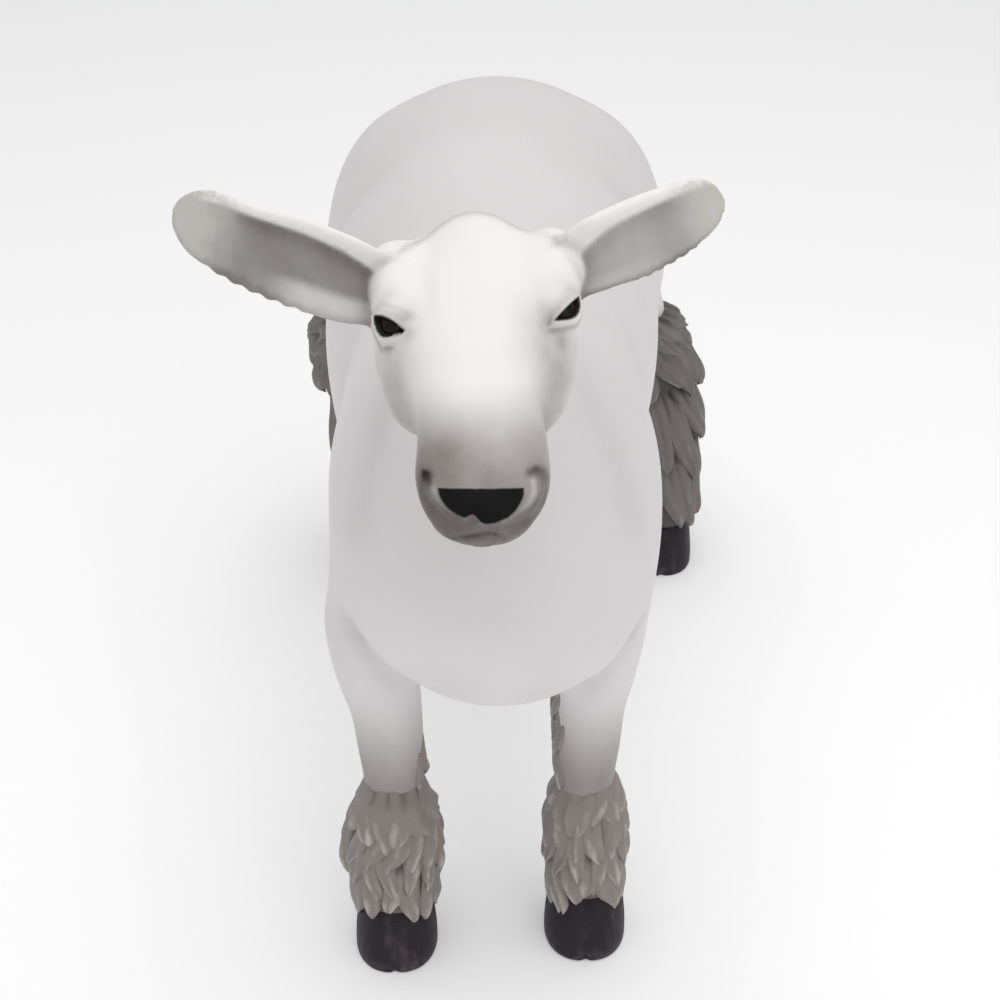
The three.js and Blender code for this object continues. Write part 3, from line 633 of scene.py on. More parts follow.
# ---------------------------------------------------------------- ears
@dataclass(frozen=True)
class EarForm:
    """An ear as a cupped leaf with a rolled upper rim.

    Its middle surface is a leaf between root and tip. Across the leaf, the surface comes forward
    with the square of the place between the middle and an edge, so that it makes a shallow cup. The
    half widths above and below the middle are given at the stations, and the edge way points to the
    upper edge. Grey is how dark its hollow is painted, and pale how much lighter low at the root.
    """

    out: float
    tip: tuple[float, float, float]
    edge_way: tuple[float, float, float]
    half_above: tuple[float, ...]
    half_below: tuple[float, ...]
    grey: float
    pale: float
    stations: tuple[float, ...] = (-0.2, 0.0, 0.2, 0.45, 0.7, 0.86, 1.0)
    thickness: float = 4.6
    cup: float = 13.0
    root_along: float = 24.0
    root_up: float = -33.0
    root_lift: float = 14.0
    root_sink: float = 24.0
    stand_off: float = 8.0
    ripples: float = 78.0
    ripple_depth: float = 0.024
    rim: float = 5.8

    def leaf(self, points: Array) -> tuple[Array, Array, Array, Array, float]:
        """Places on the leaf.

        Args:
            points: Places in the standing frame, one per row.

        Returns:
            The place from root (0) to tip (1), the place across from the lower edge (-1) to the
            upper one (1), the height in front of the middle surface, the half width, the length.
        """
        root = HeadFrame().outward((self.root_along, self.out, self.root_up))[0]
        run = np.array(self.tip) - root
        length = float(np.linalg.norm(run))
        along = run / length
        upper = np.array(self.edge_way) - along * (along @ np.array(self.edge_way))
        upper /= np.linalg.norm(upper)
        front = np.cross(along, upper) * math.copysign(1, self.out)
        s = (points - root) @ along / length
        q = (points - root) @ upper
        rows = tuple(zip(self.stations, self.half_above, self.half_below))
        halves = smooth_columns(rows)(s)
        ripple = self.ripple_depth * np.sin(self.ripples * s)
        ripple = ripple * smooth_step(s, 0.3, 0.4) * (1 - smooth_step(s, 0.7, 0.9))
        half = np.where(q > 0, halves[:, 0], halves[:, 1] * (1 + ripple))
        half = half * np.sqrt(np.maximum(1 - np.clip((s - 0.84) / 0.16, 0, 1) ** 2, 0.01))
        across = q / np.maximum(half, 1)
        opening = np.maximum(1 - s, 0.2)
        lift = self.root_lift * np.maximum(1 - s, 0) ** 2 + self.stand_off
        lift = lift + self.cup * opening * (across**2 - 0.75)
        lift = lift - self.root_sink * (1 - smooth_step(s, -0.1, 0.24))
        return s, across, (points - root) @ front - lift, half, length

    def __call__(self, points: Array) -> Array:
        """Signed distance: a slab round the leaf, with a roll along its upper edge."""
        s, across, front, half, length = self.leaf(points)
        thick = self.thickness * (1.25 - 0.4 * np.clip(s, 0, 1)) * (1 - 0.45 * across**2)
        thick = np.maximum(thick, 1.6)
        slab = -join(thick - np.abs(front), (1 - np.abs(across)) * half, 2.0)
        roll_size = self.rim * (1 - smooth_step(s, 0.45, 0.95)) * smooth_step(s, 0.02, 0.26)
        roll = np.hypot((across - 0.83) * half, front - 3.5) - roll_size
        form = join(slab, np.where(roll_size > 0.8, roll, FAR), 6.0)
        vein = np.exp(-(((across + 0.15 + 0.35 * s) * half / 5) ** 2)) * smooth_step(s, 0.05, 0.3)
        form = form - 0.9 * vein * (front > 0) * (1 - smooth_step(s, 0.7, 0.95))
        form = np.maximum(form, (s - 1) * length)
        return np.maximum(form, (-0.2 - s) * length)


EARS = {
    Side.LEFT: EarForm(62, (165, -76, 826), (-0.35, 0.25, 1),
                       (18, 26, 33, 31, 28, 25, 23), (19, 19, 20, 25, 24, 19, 16), 0.78, 0.1),
    Side.RIGHT: EarForm(-58, (-229, -117, 836), (0.25, 0.35, 1),
                        (22, 22, 24, 25, 22, 22, 21), (28, 29, 35, 37, 34, 28, 24), 1.0, 0.5),
}


LEFT_EAR_BOX = Box((20, -190, 700), (210, 40, 900))
RIGHT_EAR_BOX = Box((-270, -200, 700), (-40, 0, 900))
FACE_BOX = Box((-140, -400, 640), (120, 0, 900))
HEAD_AND_EARS_BOX = Box((-280, -420, 590), (220, 40, 910))


def both_ears(points: Array) -> Array:
    """Signed distance to the nearer ear."""
    return np.minimum(*(EARS[side](points) for side in Side))


class SkinForm(SheepForm):
    """The sheep's form with what the sculptor set into it: lids, muzzle, creases and ears."""

    fore_end = 150.0
    hind_end = 285.0
    hind_end_slope = 0.5

    def set_eye(self, eye: Eye, places: Array, form: Array) -> Array:
        """A shell of lids over the ball, folds round it, and an almond cut through to the ball."""
        reach, outside, over = eye.measure(places)
        form = join(form, reach - (eye.radius + eye.lid), 8.0)
        near = np.exp(-((np.maximum(reach - 21, 0) / 5) ** 2))
        rim = np.exp(-(((outside - 1.9) / 1.6) ** 2))
        fold = np.exp(-(((outside - np.where(over > 0, 6.2, 7.4)) / 1.9) ** 2))
        form = form + near * (eye.fold * fold - eye.rim * rim)
        depth = np.maximum(eye.radius - eye.opening_depth - reach, reach - eye.radius - 9)
        return carve(form, np.maximum(outside, depth), 1.2)

    def cut_muzzle(self, places: Array, form: Array) -> Array:
        """Nostril pits, the wings round the nose, the cleft under it and the mouth."""
        front = muzzle_front(places)
        near = front > 0
        flat = muzzle_plane(places[near])
        cut = np.zeros(len(flat))
        for line in (*NOSTRIL_PITS, *MUZZLE_LINES):
            cut += line.depth * np.exp(-((line.away(flat) / line.width) ** 2))
        form = form.copy()
        form[near] += cut * front[near]
        return form

    def nape(self, places: Array) -> Array:
        """Where the skull ends behind the poll: a bell over the place along the head."""
        rear = np.exp(-(((places[:, 0] + 33 - 0.16 * np.abs(places[:, 1])) / 7) ** 2))
        return rear * smooth_step(places[:, 2], -95, -45)

    def skin(self, points: Array) -> Array:
        """The whole skin, ended inside the wool of the lower legs."""
        form = self.body(points)
        for crease in CREASES:
            form = form + crease.depth * crease.fall(points, crease.width)
        near_head = FACE_BOX.holds(points)
        places = self.head_frame.inward(points[near_head])
        head = form[near_head] + 1.6 * self.nape(places)
        for eye in EYES:
            head = self.set_eye(eye, places, head)
        form[near_head] = self.cut_muzzle(places, head)
        form = join(form, LEFT_EAR_BOX.only(points, EARS[Side.LEFT]), 7)
        form = join(form, RIGHT_EAR_BOX.only(points, EARS[Side.RIGHT]), 7)
        behind = np.clip(points[:, 1] - 700, -90, 200)
        hind_end = self.hind_end - self.hind_end_slope * behind
        end = np.where(points[:, 1] < 400, self.fore_end, hind_end)
        return np.maximum(form, end - points[:, 2])


# ---------------------------------------------------------------- a closed mesh round a form
def ticks(*runs: tuple[float, float, float]) -> Array:
    """Grid lines in runs of start, end and rough spacing."""
    parts = [np.linspace(a, b, max(1, round((b - a) / step)) + 1)[1:] for a, b, step in runs]
    return np.concatenate([[runs[0][0]], *parts])


@dataclass
class FormMesher:
    """Turns a form into a closed mesh of quads on a grid whose spacing may vary along each axis."""

    x: Array
    y: Array
    z: Array
    coarse: int = 4
    band: float = 0.6

    def values(self, form: Callable[[Array], Array]) -> Array:
        """The form at every grid point near its surface, and its sign elsewhere.

        Each coarse cell is judged by its corners: it is worked out in full where a corner's value is
        less than the band times the cell's diagonal, or where the corners' signs differ.
        """
        axes = (self.x, self.y, self.z)
        picks = [np.unique(np.r_[np.arange(0, len(a), self.coarse), len(a) - 1]) for a in axes]
        grid = np.meshgrid(*(a[p] for a, p in zip(axes, picks)), indexing="ij")
        rough = form(np.stack([g.ravel() for g in grid], axis=1)).reshape(grid[0].shape)
        spans = np.meshgrid(*(np.diff(a[p]) for a, p in zip(axes, picks)), indexing="ij")
        diagonal = np.sqrt(sum(s**2 for s in spans))
        corners = np.stack([
            rough[i:rough.shape[0] - 1 + i, j:rough.shape[1] - 1 + j, k:rough.shape[2] - 1 + k]
            for i in (0, 1) for j in (0, 1) for k in (0, 1)
        ])
        crossed = (corners.min(0) < 0) & (corners.max(0) > 0)
        active = (np.abs(corners).min(0) < self.band * diagonal) | crossed
        signs = np.where(corners.mean(0) < 0, -1.0, 1.0)
        owners = []
        for axis, pick in zip(axes, picks):
            index = np.arange(len(axis))
            above = np.clip(np.searchsorted(pick, index, side="right") - 1, 0, len(pick) - 2)
            below = np.clip(np.searchsorted(pick, index, side="left") - 1, 0, len(pick) - 2)
            owners.append((above, below))
        wanted = np.zeros(tuple(len(a) for a in axes), bool)
        for i in owners[0]:
            for j in owners[1]:
                for k in owners[2]:
                    wanted |= active[np.ix_(i, j, k)]
        values = signs[np.ix_(*(o[0] for o in owners))]
        places = np.nonzero(wanted)
        values[places] = form(np.stack([a[p] for a, p in zip(axes, places)], axis=1))
        return values

    def mesh(self, form: Callable[[Array], Array]) -> tuple[Array, Array]:
        """One vertex in each cell that the surface crosses, and a quad round each crossed edge.

        Args:
            form: A signed distance, negative inside.

        Returns:
            The vertices and the quads, whose normals point outwards.
        """
        values = self.values(form)
        axes = (self.x, self.y, self.z)
        inside = values < 0
        count = inside.astype(np.int8)
        nx, ny, nz = inside.shape
        total = sum(count[i:nx - 1 + i, j:ny - 1 + j, k:nz - 1 + k]
                    for i in (0, 1) for j in (0, 1) for k in (0, 1))
        cells = np.argwhere((total > 0) & (total < 8))
        index = np.full(total.shape, -1)
        index[tuple(cells.T)] = np.arange(len(cells))
        points = np.zeros((len(cells), 3))
        crossings = np.zeros(len(cells))
        for axis in range(3):
            for offset in np.ndindex(2, 2, 2):
                if offset[axis]:
                    continue
                start = cells + offset
                end = start + np.eye(3, dtype=int)[axis]
                a, b = values[tuple(start.T)], values[tuple(end.T)]
                crossed = (a < 0) != (b < 0)
                t = np.where(crossed, a / np.where(crossed, a - b, 1), 0)[:, None]
                from_ = np.stack([axes[n][start[:, n]] for n in range(3)], axis=1)
                to = np.stack([axes[n][end[:, n]] for n in range(3)], axis=1)
                points += np.where(crossed[:, None], from_ + (to - from_) * t, 0)
                crossings += crossed
        points /= crossings[:, None]
        quads = []
        for axis in range(3):
            second, third = (axis + 1) % 3, (axis + 2) % 3
            lower = [slice(None)] * 3
            upper = [slice(None)] * 3
            lower[axis], upper[axis] = slice(0, -1), slice(1, None)
            edges = np.argwhere(inside[tuple(lower)] != inside[tuple(upper)])
            starts_inside = inside[tuple(edges.T)]
            ring = []
            for back, side in ((-1, -1), (0, -1), (0, 0), (-1, 0)):
                cell = edges.copy()
                cell[:, second] += back
                cell[:, third] += side
                ring.append(index[tuple(cell.T)])
            quad = np.stack(ring, axis=1)
            quads.append(np.where(starts_inside[:, None], quad, quad[:, ::-1]))
        return points, np.concatenate(quads)

    @staticmethod
    def settled(form: Callable[[Array], Array], points: Array, rounds: int = 2) -> Array:
        """The points moved down the form's slope onto its surface, at most 1.5 mm at a time."""
        step = 0.4
        for _ in range(rounds):
            slope = slope_of(form, points, step)
            steep = np.maximum((slope**2).sum(1), 0.1)
            move = -slope * (form(points) / steep)[:, None]
            size = np.linalg.norm(move, axis=1)
            points = points + move * np.minimum(1, 1.5 / np.maximum(size, 1e-9))[:, None]
        return points


def slope_of(form: Callable[[Array], Array], points: Array, step: float) -> Array:
    """The form's slope along each axis, from places a step to either side."""
    return np.stack([(form(points + ahead) - form(points - ahead)) / (2 * step)
                     for ahead in np.eye(3) * step], axis=1)


SKIN_GRID = FormMesher(
    ticks((-312, -240, 9), (-240, -100, 3.0), (-100, -87, 2.0), (-87, -54, 1.3), (-54, 32, 2.0),
          (32, 65, 1.3), (65, 80, 2.0), (80, 180, 3.0), (180, 330, 9)),
    ticks((-352, -200, 2.0), (-200, -150, 1.4), (-150, -56, 2.6), (-56, 60, 5), (60, 806, 9)),
    ticks((138, 600, 8), (600, 650, 4.5), (650, 690, 2.8), (690, 750, 2.0), (750, 795, 1.3),
          (795, 800, 2.0), (800, 870, 2.6)),
)


# ---------------------------------------------------------------- meshes in Blender
def new_piece(name: str, points: Array, faces: Array, standing: bool = True) -> bpy.types.Object:
    """Makes a smooth-shaded object at the origin from vertices in millimetres.

    Args:
        name: The piece's name.
        points: Vertices, one per row.
        faces: Triangles or quads as rows of vertex numbers.
        standing: Whether the points are in the standing frame and need moving to the middle.

    Returns:
        The object, linked to the scene.
    """
    placed = (points + (STANDING_TO_CENTRE if standing else 0)) * MILLIMETRE
    mesh = bpy.data.meshes.new(name)
    sides = faces.shape[1]
    mesh.vertices.add(len(placed))
    mesh.loops.add(faces.size)
    mesh.polygons.add(len(faces))
    mesh.vertices.foreach_set("co", placed.astype(np.float32).ravel())
    mesh.loops.foreach_set("vertex_index", faces.astype(np.int32).ravel())
    mesh.polygons.foreach_set("loop_start", np.arange(0, faces.size, sides, dtype=np.int32))
    mesh.polygons.foreach_set("use_smooth", np.ones(len(faces), bool))
    mesh.update(calc_edges=True)
    mesh.validate()
    piece = bpy.data.objects.new(name, mesh)
    bpy.context.scene.collection.objects.link(piece)
    return piece


def paint_value(piece: bpy.types.Object, name: str, values: Array) -> None:
    """Keeps a number or a vector for each vertex, for the piece's paint to read."""
    kind = "FLOAT" if values.ndim == 1 else "FLOAT_VECTOR"
    key = "value" if values.ndim == 1 else "vector"
    attribute = piece.data.attributes.new(name, kind, "POINT")
    attribute.data.foreach_set(key, values.astype(np.float32).ravel())


def vertices_of(piece: bpy.types.Object) -> Array:
    """The piece's vertices in millimetres in the standing frame, one per row."""
    flat = np.empty(len(piece.data.vertices) * 3, np.float32)
    piece.data.vertices.foreach_get("co", flat)
    return flat.reshape(-1, 3) / MILLIMETRE - STANDING_TO_CENTRE


def thinned(piece: bpy.types.Object, share: float) -> None:
    """Merges the flattest faces until only a share of them is left, and keeps the result."""
    modifier = piece.modifiers.new("thin", "DECIMATE")
    modifier.ratio = share
    bpy.context.view_layer.objects.active = piece
    with bpy.context.temp_override(object=piece, active_object=piece):
        bpy.ops.object.modifier_apply(modifier=modifier.name)
    piece.data.polygons.foreach_set("use_smooth", np.ones(len(piece.data.polygons), bool))


def grid_faces(rows: int, columns: int, wrap: bool) -> Array:
    """Quads of a grid of vertices numbered row by row, whose rows may close on themselves."""
    last = columns if wrap else columns - 1
    row, column = np.meshgrid(np.arange(rows - 1), np.arange(last), indexing="ij")
    across = (column + 1) % columns
    corners = (row * columns + column, row * columns + across,
               (row + 1) * columns + across, (row + 1) * columns + column)
    return np.stack([c.ravel() for c in corners], axis=1)


# ---------------------------------------------------------------- paints
class Signal:
    """A shader socket that arithmetic can be written on; each operation adds a Math node."""

    def __init__(self, paint: "Paint", socket: bpy.types.NodeSocket) -> None:
        """Wraps an output socket of a node in a paint."""
        self.paint = paint
        self.socket = socket

    def _with(self, operation: str, *values: "Signal | float") -> "Signal":
        """A Math node's result."""
        return self.paint.node("ShaderNodeMath", {"operation": operation},
                               dict(enumerate(values))).out()

    def __add__(self, other: "Signal | float") -> "Signal":
        """Sum."""
        return self._with("ADD", self, other)

    __radd__ = __add__

    def __sub__(self, other: "Signal | float") -> "Signal":
        """Difference."""
        return self._with("SUBTRACT", self, other)

    def __rsub__(self, other: float) -> "Signal":
        """Difference from a number."""
        return self._with("SUBTRACT", other, self)

    def __mul__(self, other: "Signal | float") -> "Signal":
        """Product."""
        return self._with("MULTIPLY", self, other)

    __rmul__ = __mul__

    def __truediv__(self, other: "Signal | float") -> "Signal":
        """Quotient."""
        return self._with("DIVIDE", self, other)

    def __pow__(self, power: float) -> "Signal":
        """Power of what is never below zero."""
        return self._with("POWER", self, power)

    def __abs__(self) -> "Signal":
        """Size without sign."""
        return self._with("ABSOLUTE", self)

    def most(self, other: "Signal | float") -> "Signal":
        """The larger of two."""
        return self._with("MAXIMUM", self, other)

    def ramp(self, low: float, high: float) -> "Signal":
        """A smooth rise from 0 at low to 1 at high, or a fall where low is above high."""
        settings = {"interpolation_type": "SMOOTHSTEP"}
        if low < high:
            values = {"Value": self, "From Min": low, "From Max": high}
            return self.paint.node("ShaderNodeMapRange", settings, values).out("Result")
        return 1 - self.ramp(high, low)


class Added:
    """A node just added, asked for its outputs."""

    def __init__(self, paint: "Paint", node: bpy.types.Node) -> None:
        """Wraps a node."""
        self.paint = paint
        self.node = node

    def out(self, name: str | int = 0) -> Signal:
        """One of the node's outputs."""
        return Signal(self.paint, self.node.outputs[name])


class Paint:
    """A paint: a Principled shader, and the nodes that vary its colour, gloss and relief."""

    def __init__(self, name: str, **constants: float | tuple[float, ...]) -> None:
        """Starts a paint from the values that are the same all over.

        Args:
            name: The finish, in a maker's words.
            constants: Values of the shader's own sockets, with underscores for spaces.
        """
        self.material = bpy.data.materials.new(name)
        self.material.use_nodes = True
        self.tree = self.material.node_tree
        self.tree.nodes.clear()
        self.shader = self.node("ShaderNodeBsdfPrincipled", {}, {
            key.replace("_", " "): value for key, value in constants.items()})
        output = self.tree.nodes.new("ShaderNodeOutputMaterial")
        self.tree.links.new(self.shader.node.outputs[0], output.inputs[0])

    def node(self, kind: str, settings: dict[str, object] | None = None,
             inputs: dict[str | int, object] | None = None) -> Added:
        """Adds a node.

        Args:
            kind: The node's type.
            settings: The node's own properties, set first.
            inputs: Values or signals for its sockets, by name or number.

        Returns:
            The node, to be asked for its outputs.
        """
        node = self.tree.nodes.new(kind)
        for key, value in (settings or {}).items():
            setattr(node, key, value)
        added = Added(self, node)
        for key, value in (inputs or {}).items():
            self.feed(added, key, value)
        return added

    def feed(self, added: Added, key: str | int, value: object) -> None:
        """Sets or links one socket of a node."""
        socket = added.node.inputs[key]
        if isinstance(value, Signal):
            self.tree.links.new(value.socket, socket)
        elif isinstance(value, tuple) and len(value) == 3 and socket.type == "RGBA":
            socket.default_value = (*value, 1.0)
        else:
            socket.default_value = value

    def set(self, **signals: Signal) -> None:
        """Feeds signals to the shader's sockets, with underscores for spaces."""
        for key, value in signals.items():
            self.feed(self.shader, key.replace("_", " "), value)

    def value(self, name: str) -> Signal:
        """A number kept for each vertex."""
        return self.node("ShaderNodeAttribute", {"attribute_name": name}).out("Fac")

    def place(self, name: str = "") -> tuple[Signal, Signal, Signal]:
        """The parts of a vector kept for each vertex, or of the place on the object."""
        if name:
            source = self.node("ShaderNodeAttribute", {"attribute_name": name}).out("Vector")
        else:
            source = self.node("ShaderNodeTexCoord").out("Object")
        split = self.node("ShaderNodeSeparateXYZ", {}, {0: source})
        return split.out(0), split.out(1), split.out(2)

    def stretched(self, x: float, y: float, z: float) -> Signal:
        """The place on the object, with each axis scaled."""
        place = self.node("ShaderNodeTexCoord").out("Object")
        return self.node("ShaderNodeMapping", {}, {"Vector": place, "Scale": (x, y, z)}).out()

    def noise(self, scale: float, detail: float = 3.0, roughness: float = 0.55,
              vector: Signal | None = None) -> Signal:
        """Cloudy noise around one half."""
        place = vector or self.node("ShaderNodeTexCoord").out("Object")
        return self.node("ShaderNodeTexNoise", {}, {
            "Vector": place, "Scale": scale, "Detail": detail, "Roughness": roughness}).out("Fac")

    def blend(self, share: Signal | float, first: object, second: object) -> Signal:
        """A colour between two, nearer to the second as the share rises to one."""
        mix = self.tree.nodes.new("ShaderNodeMix")
        mix.data_type = "RGBA"
        mix.clamp_factor = True
        added = Added(self, mix)
        colours = [s for s in mix.inputs if s.type == "RGBA"]
        for socket, value in ((mix.inputs[0], share), (colours[0], first), (colours[1], second)):
            if isinstance(value, Signal):
                self.tree.links.new(value.socket, socket)
            elif isinstance(value, tuple):
                socket.default_value = (*value, 1.0)
            else:
                socket.default_value = value
        return Signal(self, next(s for s in added.node.outputs if s.type == "RGBA"))

    def relief(self, height: Signal, distance: float, strength: float = 1.0) -> None:
        """Feeds a bump made from a height to the shader."""
        bump = self.node("ShaderNodeBump", {}, {
            "Strength": strength, "Distance": distance, "Height": height})
        self.set(Normal=bump.out("Normal"))


def srgb(red: int, green: int, blue: int) -> tuple[float, float, float]:
    """A colour from its 8-bit screen values, as the shader's linear ones."""
    scaled = np.array([red, green, blue]) / 255
    linear = np.where(scaled <= 0.04045, scaled / 12.92, ((scaled + 0.055) / 1.055) ** 2.4)
    return tuple(float(v) for v in linear)


@dataclass(frozen=True)
class BodyPaint:
    """Satin white over the body, lighter on the head, sprayed to grey on the muzzle and legs, with
    glaze and painted shade in creases.
    """

    body: tuple[float, float, float] = srgb(226, 222, 223)
    head: tuple[float, float, float] = srgb(243, 239, 238)
    glaze: tuple[float, float, float] = srgb(96, 90, 88)
    muzzle: tuple[float, float, float] = srgb(136, 129, 125)
    leg: tuple[float, float, float] = srgb(142, 135, 131)
    nose: tuple[float, float, float] = srgb(14, 13, 15)
    ear: tuple[float, float, float] = srgb(96, 89, 87)
    tip: tuple[float, float, float] = srgb(196, 194, 186)
    stain: tuple[float, float, float] = srgb(206, 201, 200)
    speck: tuple[float, float, float] = srgb(90, 84, 82)
    nose_top: float = 174.6
    nose_middle: float = -2.3
    nose_half_width: float = 28.4
    nose_height: float = 21.0
    nose_power: float = 2.05

    def material(self) -> bpy.types.Material:
        """Builds the paint's nodes."""
        paint = Paint("satin white body paint", Roughness=0.42, Coat_Weight=0.03,
                      Coat_Roughness=0.3, Specular_IOR_Level=0.13)
        cloud = paint.noise(7, 4)
        fine = paint.noise(60, 3)
        brush = paint.noise(16, 4, 0.6, paint.stretched(1, 1, 0.25))
        # The head and ears are painted lighter than the body, partly as paint and partly as painted
        # light for the brighter light on the head.
        colour = paint.blend(paint.value("whiteness"), self.body, self.head)
        colour = paint.blend((cloud - 0.42).most(0) * 0.5, colour, self.stain)
        legs = paint.value("leg_grey") * (0.86 + 0.4 * (brush - 0.5))
        colour = paint.blend(legs, colour, self.leg)
        muzzle = paint.value("muzzle_grey") * (0.9 + 0.7 * (brush - 0.5))
        colour = paint.blend(muzzle, colour, self.muzzle)
        ear = paint.value("ear_inside") * (0.85 + 0.5 * (brush - 0.5))
        colour = paint.blend(ear, colour, self.ear)
        tips = paint.value("ear_tip") * paint.noise(45, 4, 0.65).ramp(0.35, 0.6)
        colour = paint.blend(tips, colour, self.tip)
        # Glaze and painted shade: creases, lids, face shadows, the muzzle's grooves and the ears'
        # roots darken the white.
        glaze = paint.value("glaze") * (0.85 + 0.6 * (fine - 0.5))
        colour = paint.blend(glaze, colour, self.glaze)
        # Near-black for the nose patch, and for the lids' edges with the painted shadow in the gap
        # round each eye.
        nose = self.nose_patch(paint).most(paint.value("eye_line"))
        colour = paint.blend(nose, colour, self.nose)
        colour = paint.blend(self.specks(paint), colour, self.speck)
        paint.set(Base_Color=colour)
        paint.set(Roughness=0.40 + 0.14 * (cloud - 0.5) + 0.1 * fine + 0.2 * nose
                  + 0.1 * paint.value("leg_grey"))
        paint.relief(paint.noise(26, 4) * 0.7 + fine * 0.3 + paint.noise(240, 2) * 0.06,
                     0.0012, 0.5)
        return paint.material

    def nose_patch(self, paint: Paint) -> Signal:
        """The black nose: a patch with a level top, round lobes below and a notch between them.

        Its level is the place across over the half width, plus the place down over the height, each
        raised to the power. The height is less at the notch, and on the sheep's right of it. The
        places across and down the muzzle's plane are worked out here from metres.
        """
        along, out, up = paint.place("head_place")
        across = out * 1000
        down = along * 775 - up * 630
        facing = (along * 630 + up * 775).ramp(104, 112)
        wobble = (paint.noise(150, 2) - 0.5) * 2.4
        notch = (abs(across + 8.4) / 6).ramp(1, 0) * 3.2
        height = across.ramp(-8, 2) * 2.9 - notch + self.nose_height
        wide = abs(across - self.nose_middle + wobble * 0.3) / self.nose_half_width
        deep = (down - self.nose_top).most(0) / height
        level = wide ** self.nose_power + deep ** self.nose_power
        below = (level + wobble * 0.03).ramp(1.08, 0.93)
        top = (down + wobble * 0.4).ramp(self.nose_top, self.nose_top + 1.4)
        return below * top * facing

    def specks(self, paint: Paint) -> Signal:
        """A few small dark flecks of spatter."""
        cells = paint.node("ShaderNodeTexVoronoi", {}, {
            "Vector": paint.node("ShaderNodeTexCoord").out("Object"), "Scale": 18.0})
        return cells.out("Distance").ramp(0.03, 0.018) * cells.out("Color").ramp(0.80, 0.84) * 0.6


@dataclass(frozen=True)
class WoolPaint:
    """Grey wool paint, its darker grey in the hollows partly paint and partly painted shade,
    dry-brushed pale on the ridges and tips.
    """

    name: str
    hollow_paint_and_shade: tuple[float, float, float]
    middle: tuple[float, float, float]
    ridge: tuple[float, float, float]

    def material(self) -> bpy.types.Material:
        """Builds the paint's nodes."""
        paint = Paint(self.name, Roughness=0.62)
        height = paint.value("raised")
        patchy = paint.noise(34, 4, 0.6)
        streaks = paint.noise(30, 3, 0.6, paint.stretched(4, 4, 0.8))
        # The hollow grey, where the wool is least raised, is partly painted shade between and under
        # the locks.
        colour = paint.blend(height.ramp(0.05, 0.5), self.hollow_paint_and_shade, self.middle)
        dry = (height + (streaks - 0.5) * 0.7).ramp(0.62, 1.05) * patchy.ramp(0.36, 0.6)
        colour = paint.blend(dry * 0.85, colour, self.ridge)
        paint.set(Base_Color=colour)
        paint.set(Roughness=0.56 + 0.22 * patchy)
        paint.relief(streaks * 0.7 + paint.noise(170, 3) * 0.3, 0.0016, 0.6)
        return paint.material


@dataclass(frozen=True)
class HoofPaint:
    """Near-black hoof paint with a plum cast, faint upright streaks and worn edges."""

    base: tuple[float, float, float] = srgb(42, 35, 41)
    ridge_highlight: tuple[float, float, float] = srgb(96, 86, 90)

    def material(self) -> bpy.types.Material:
        """Builds the paint's nodes."""
        paint = Paint("near-black hoof paint", Roughness=0.45, Specular_IOR_Level=0.2)
        streaks = paint.noise(46, 4, 0.6, paint.stretched(1, 1, 0.18))
        patches = paint.noise(70, 4, 0.65)
        wear = paint.value("wear")
        share = streaks.ramp(0.5, 0.72) * 0.35 + wear * patches.ramp(0.45, 0.62) * 0.55
        paint.set(Base_Color=paint.blend(share, self.base, self.ridge_highlight))
        paint.set(Roughness=0.38 + 0.3 * patches)
        paint.relief(streaks * 0.6 + patches * 0.4, 0.0012, 0.5)
        return paint.material


@dataclass(frozen=True)
class EyePaint:
    """Dark gloss over a brown iris and a level black pupil."""

    dark: tuple[float, float, float] = srgb(10, 9, 10)
    iris: tuple[float, float, float] = srgb(40, 31, 26)

    def material(self) -> bpy.types.Material:
        """Builds the paint's nodes."""
        paint = Paint("gloss eye paint", Roughness=0.3, Coat_Weight=0.12, Coat_Roughness=0.12,
                      Specular_IOR_Level=0.15)
        slit, across, out = paint.place("eye_place")
        ring = paint.node("ShaderNodeMath", {"operation": "SQRT"}, {
            0: slit * slit + across * across}).out()
        iris = ring.ramp(9.4, 8.2) * ring.ramp(3.0, 5.5)
        pupil = (abs(slit) / 6.5 + abs(across) / 3.0).ramp(1.1, 0.9)
        fibres = paint.noise(500, 3)
        share = iris * (1 - pupil) * (0.6 + 0.8 * (fibres - 0.5))
        paint.set(Base_Color=paint.blend(share, self.dark, self.iris))
        paint.relief(fibres, 0.0002, 0.15)
        return paint.material


def wrapped(columns: Array, around: int) -> Array:
    """Which corners of each face lie past the end of a ring of columns: 1 there, 0 elsewhere."""
    crosses = columns.max(axis=1) - columns.min(axis=1) > around / 2
    return (crosses[:, None] & (columns < around / 2)).astype(float)


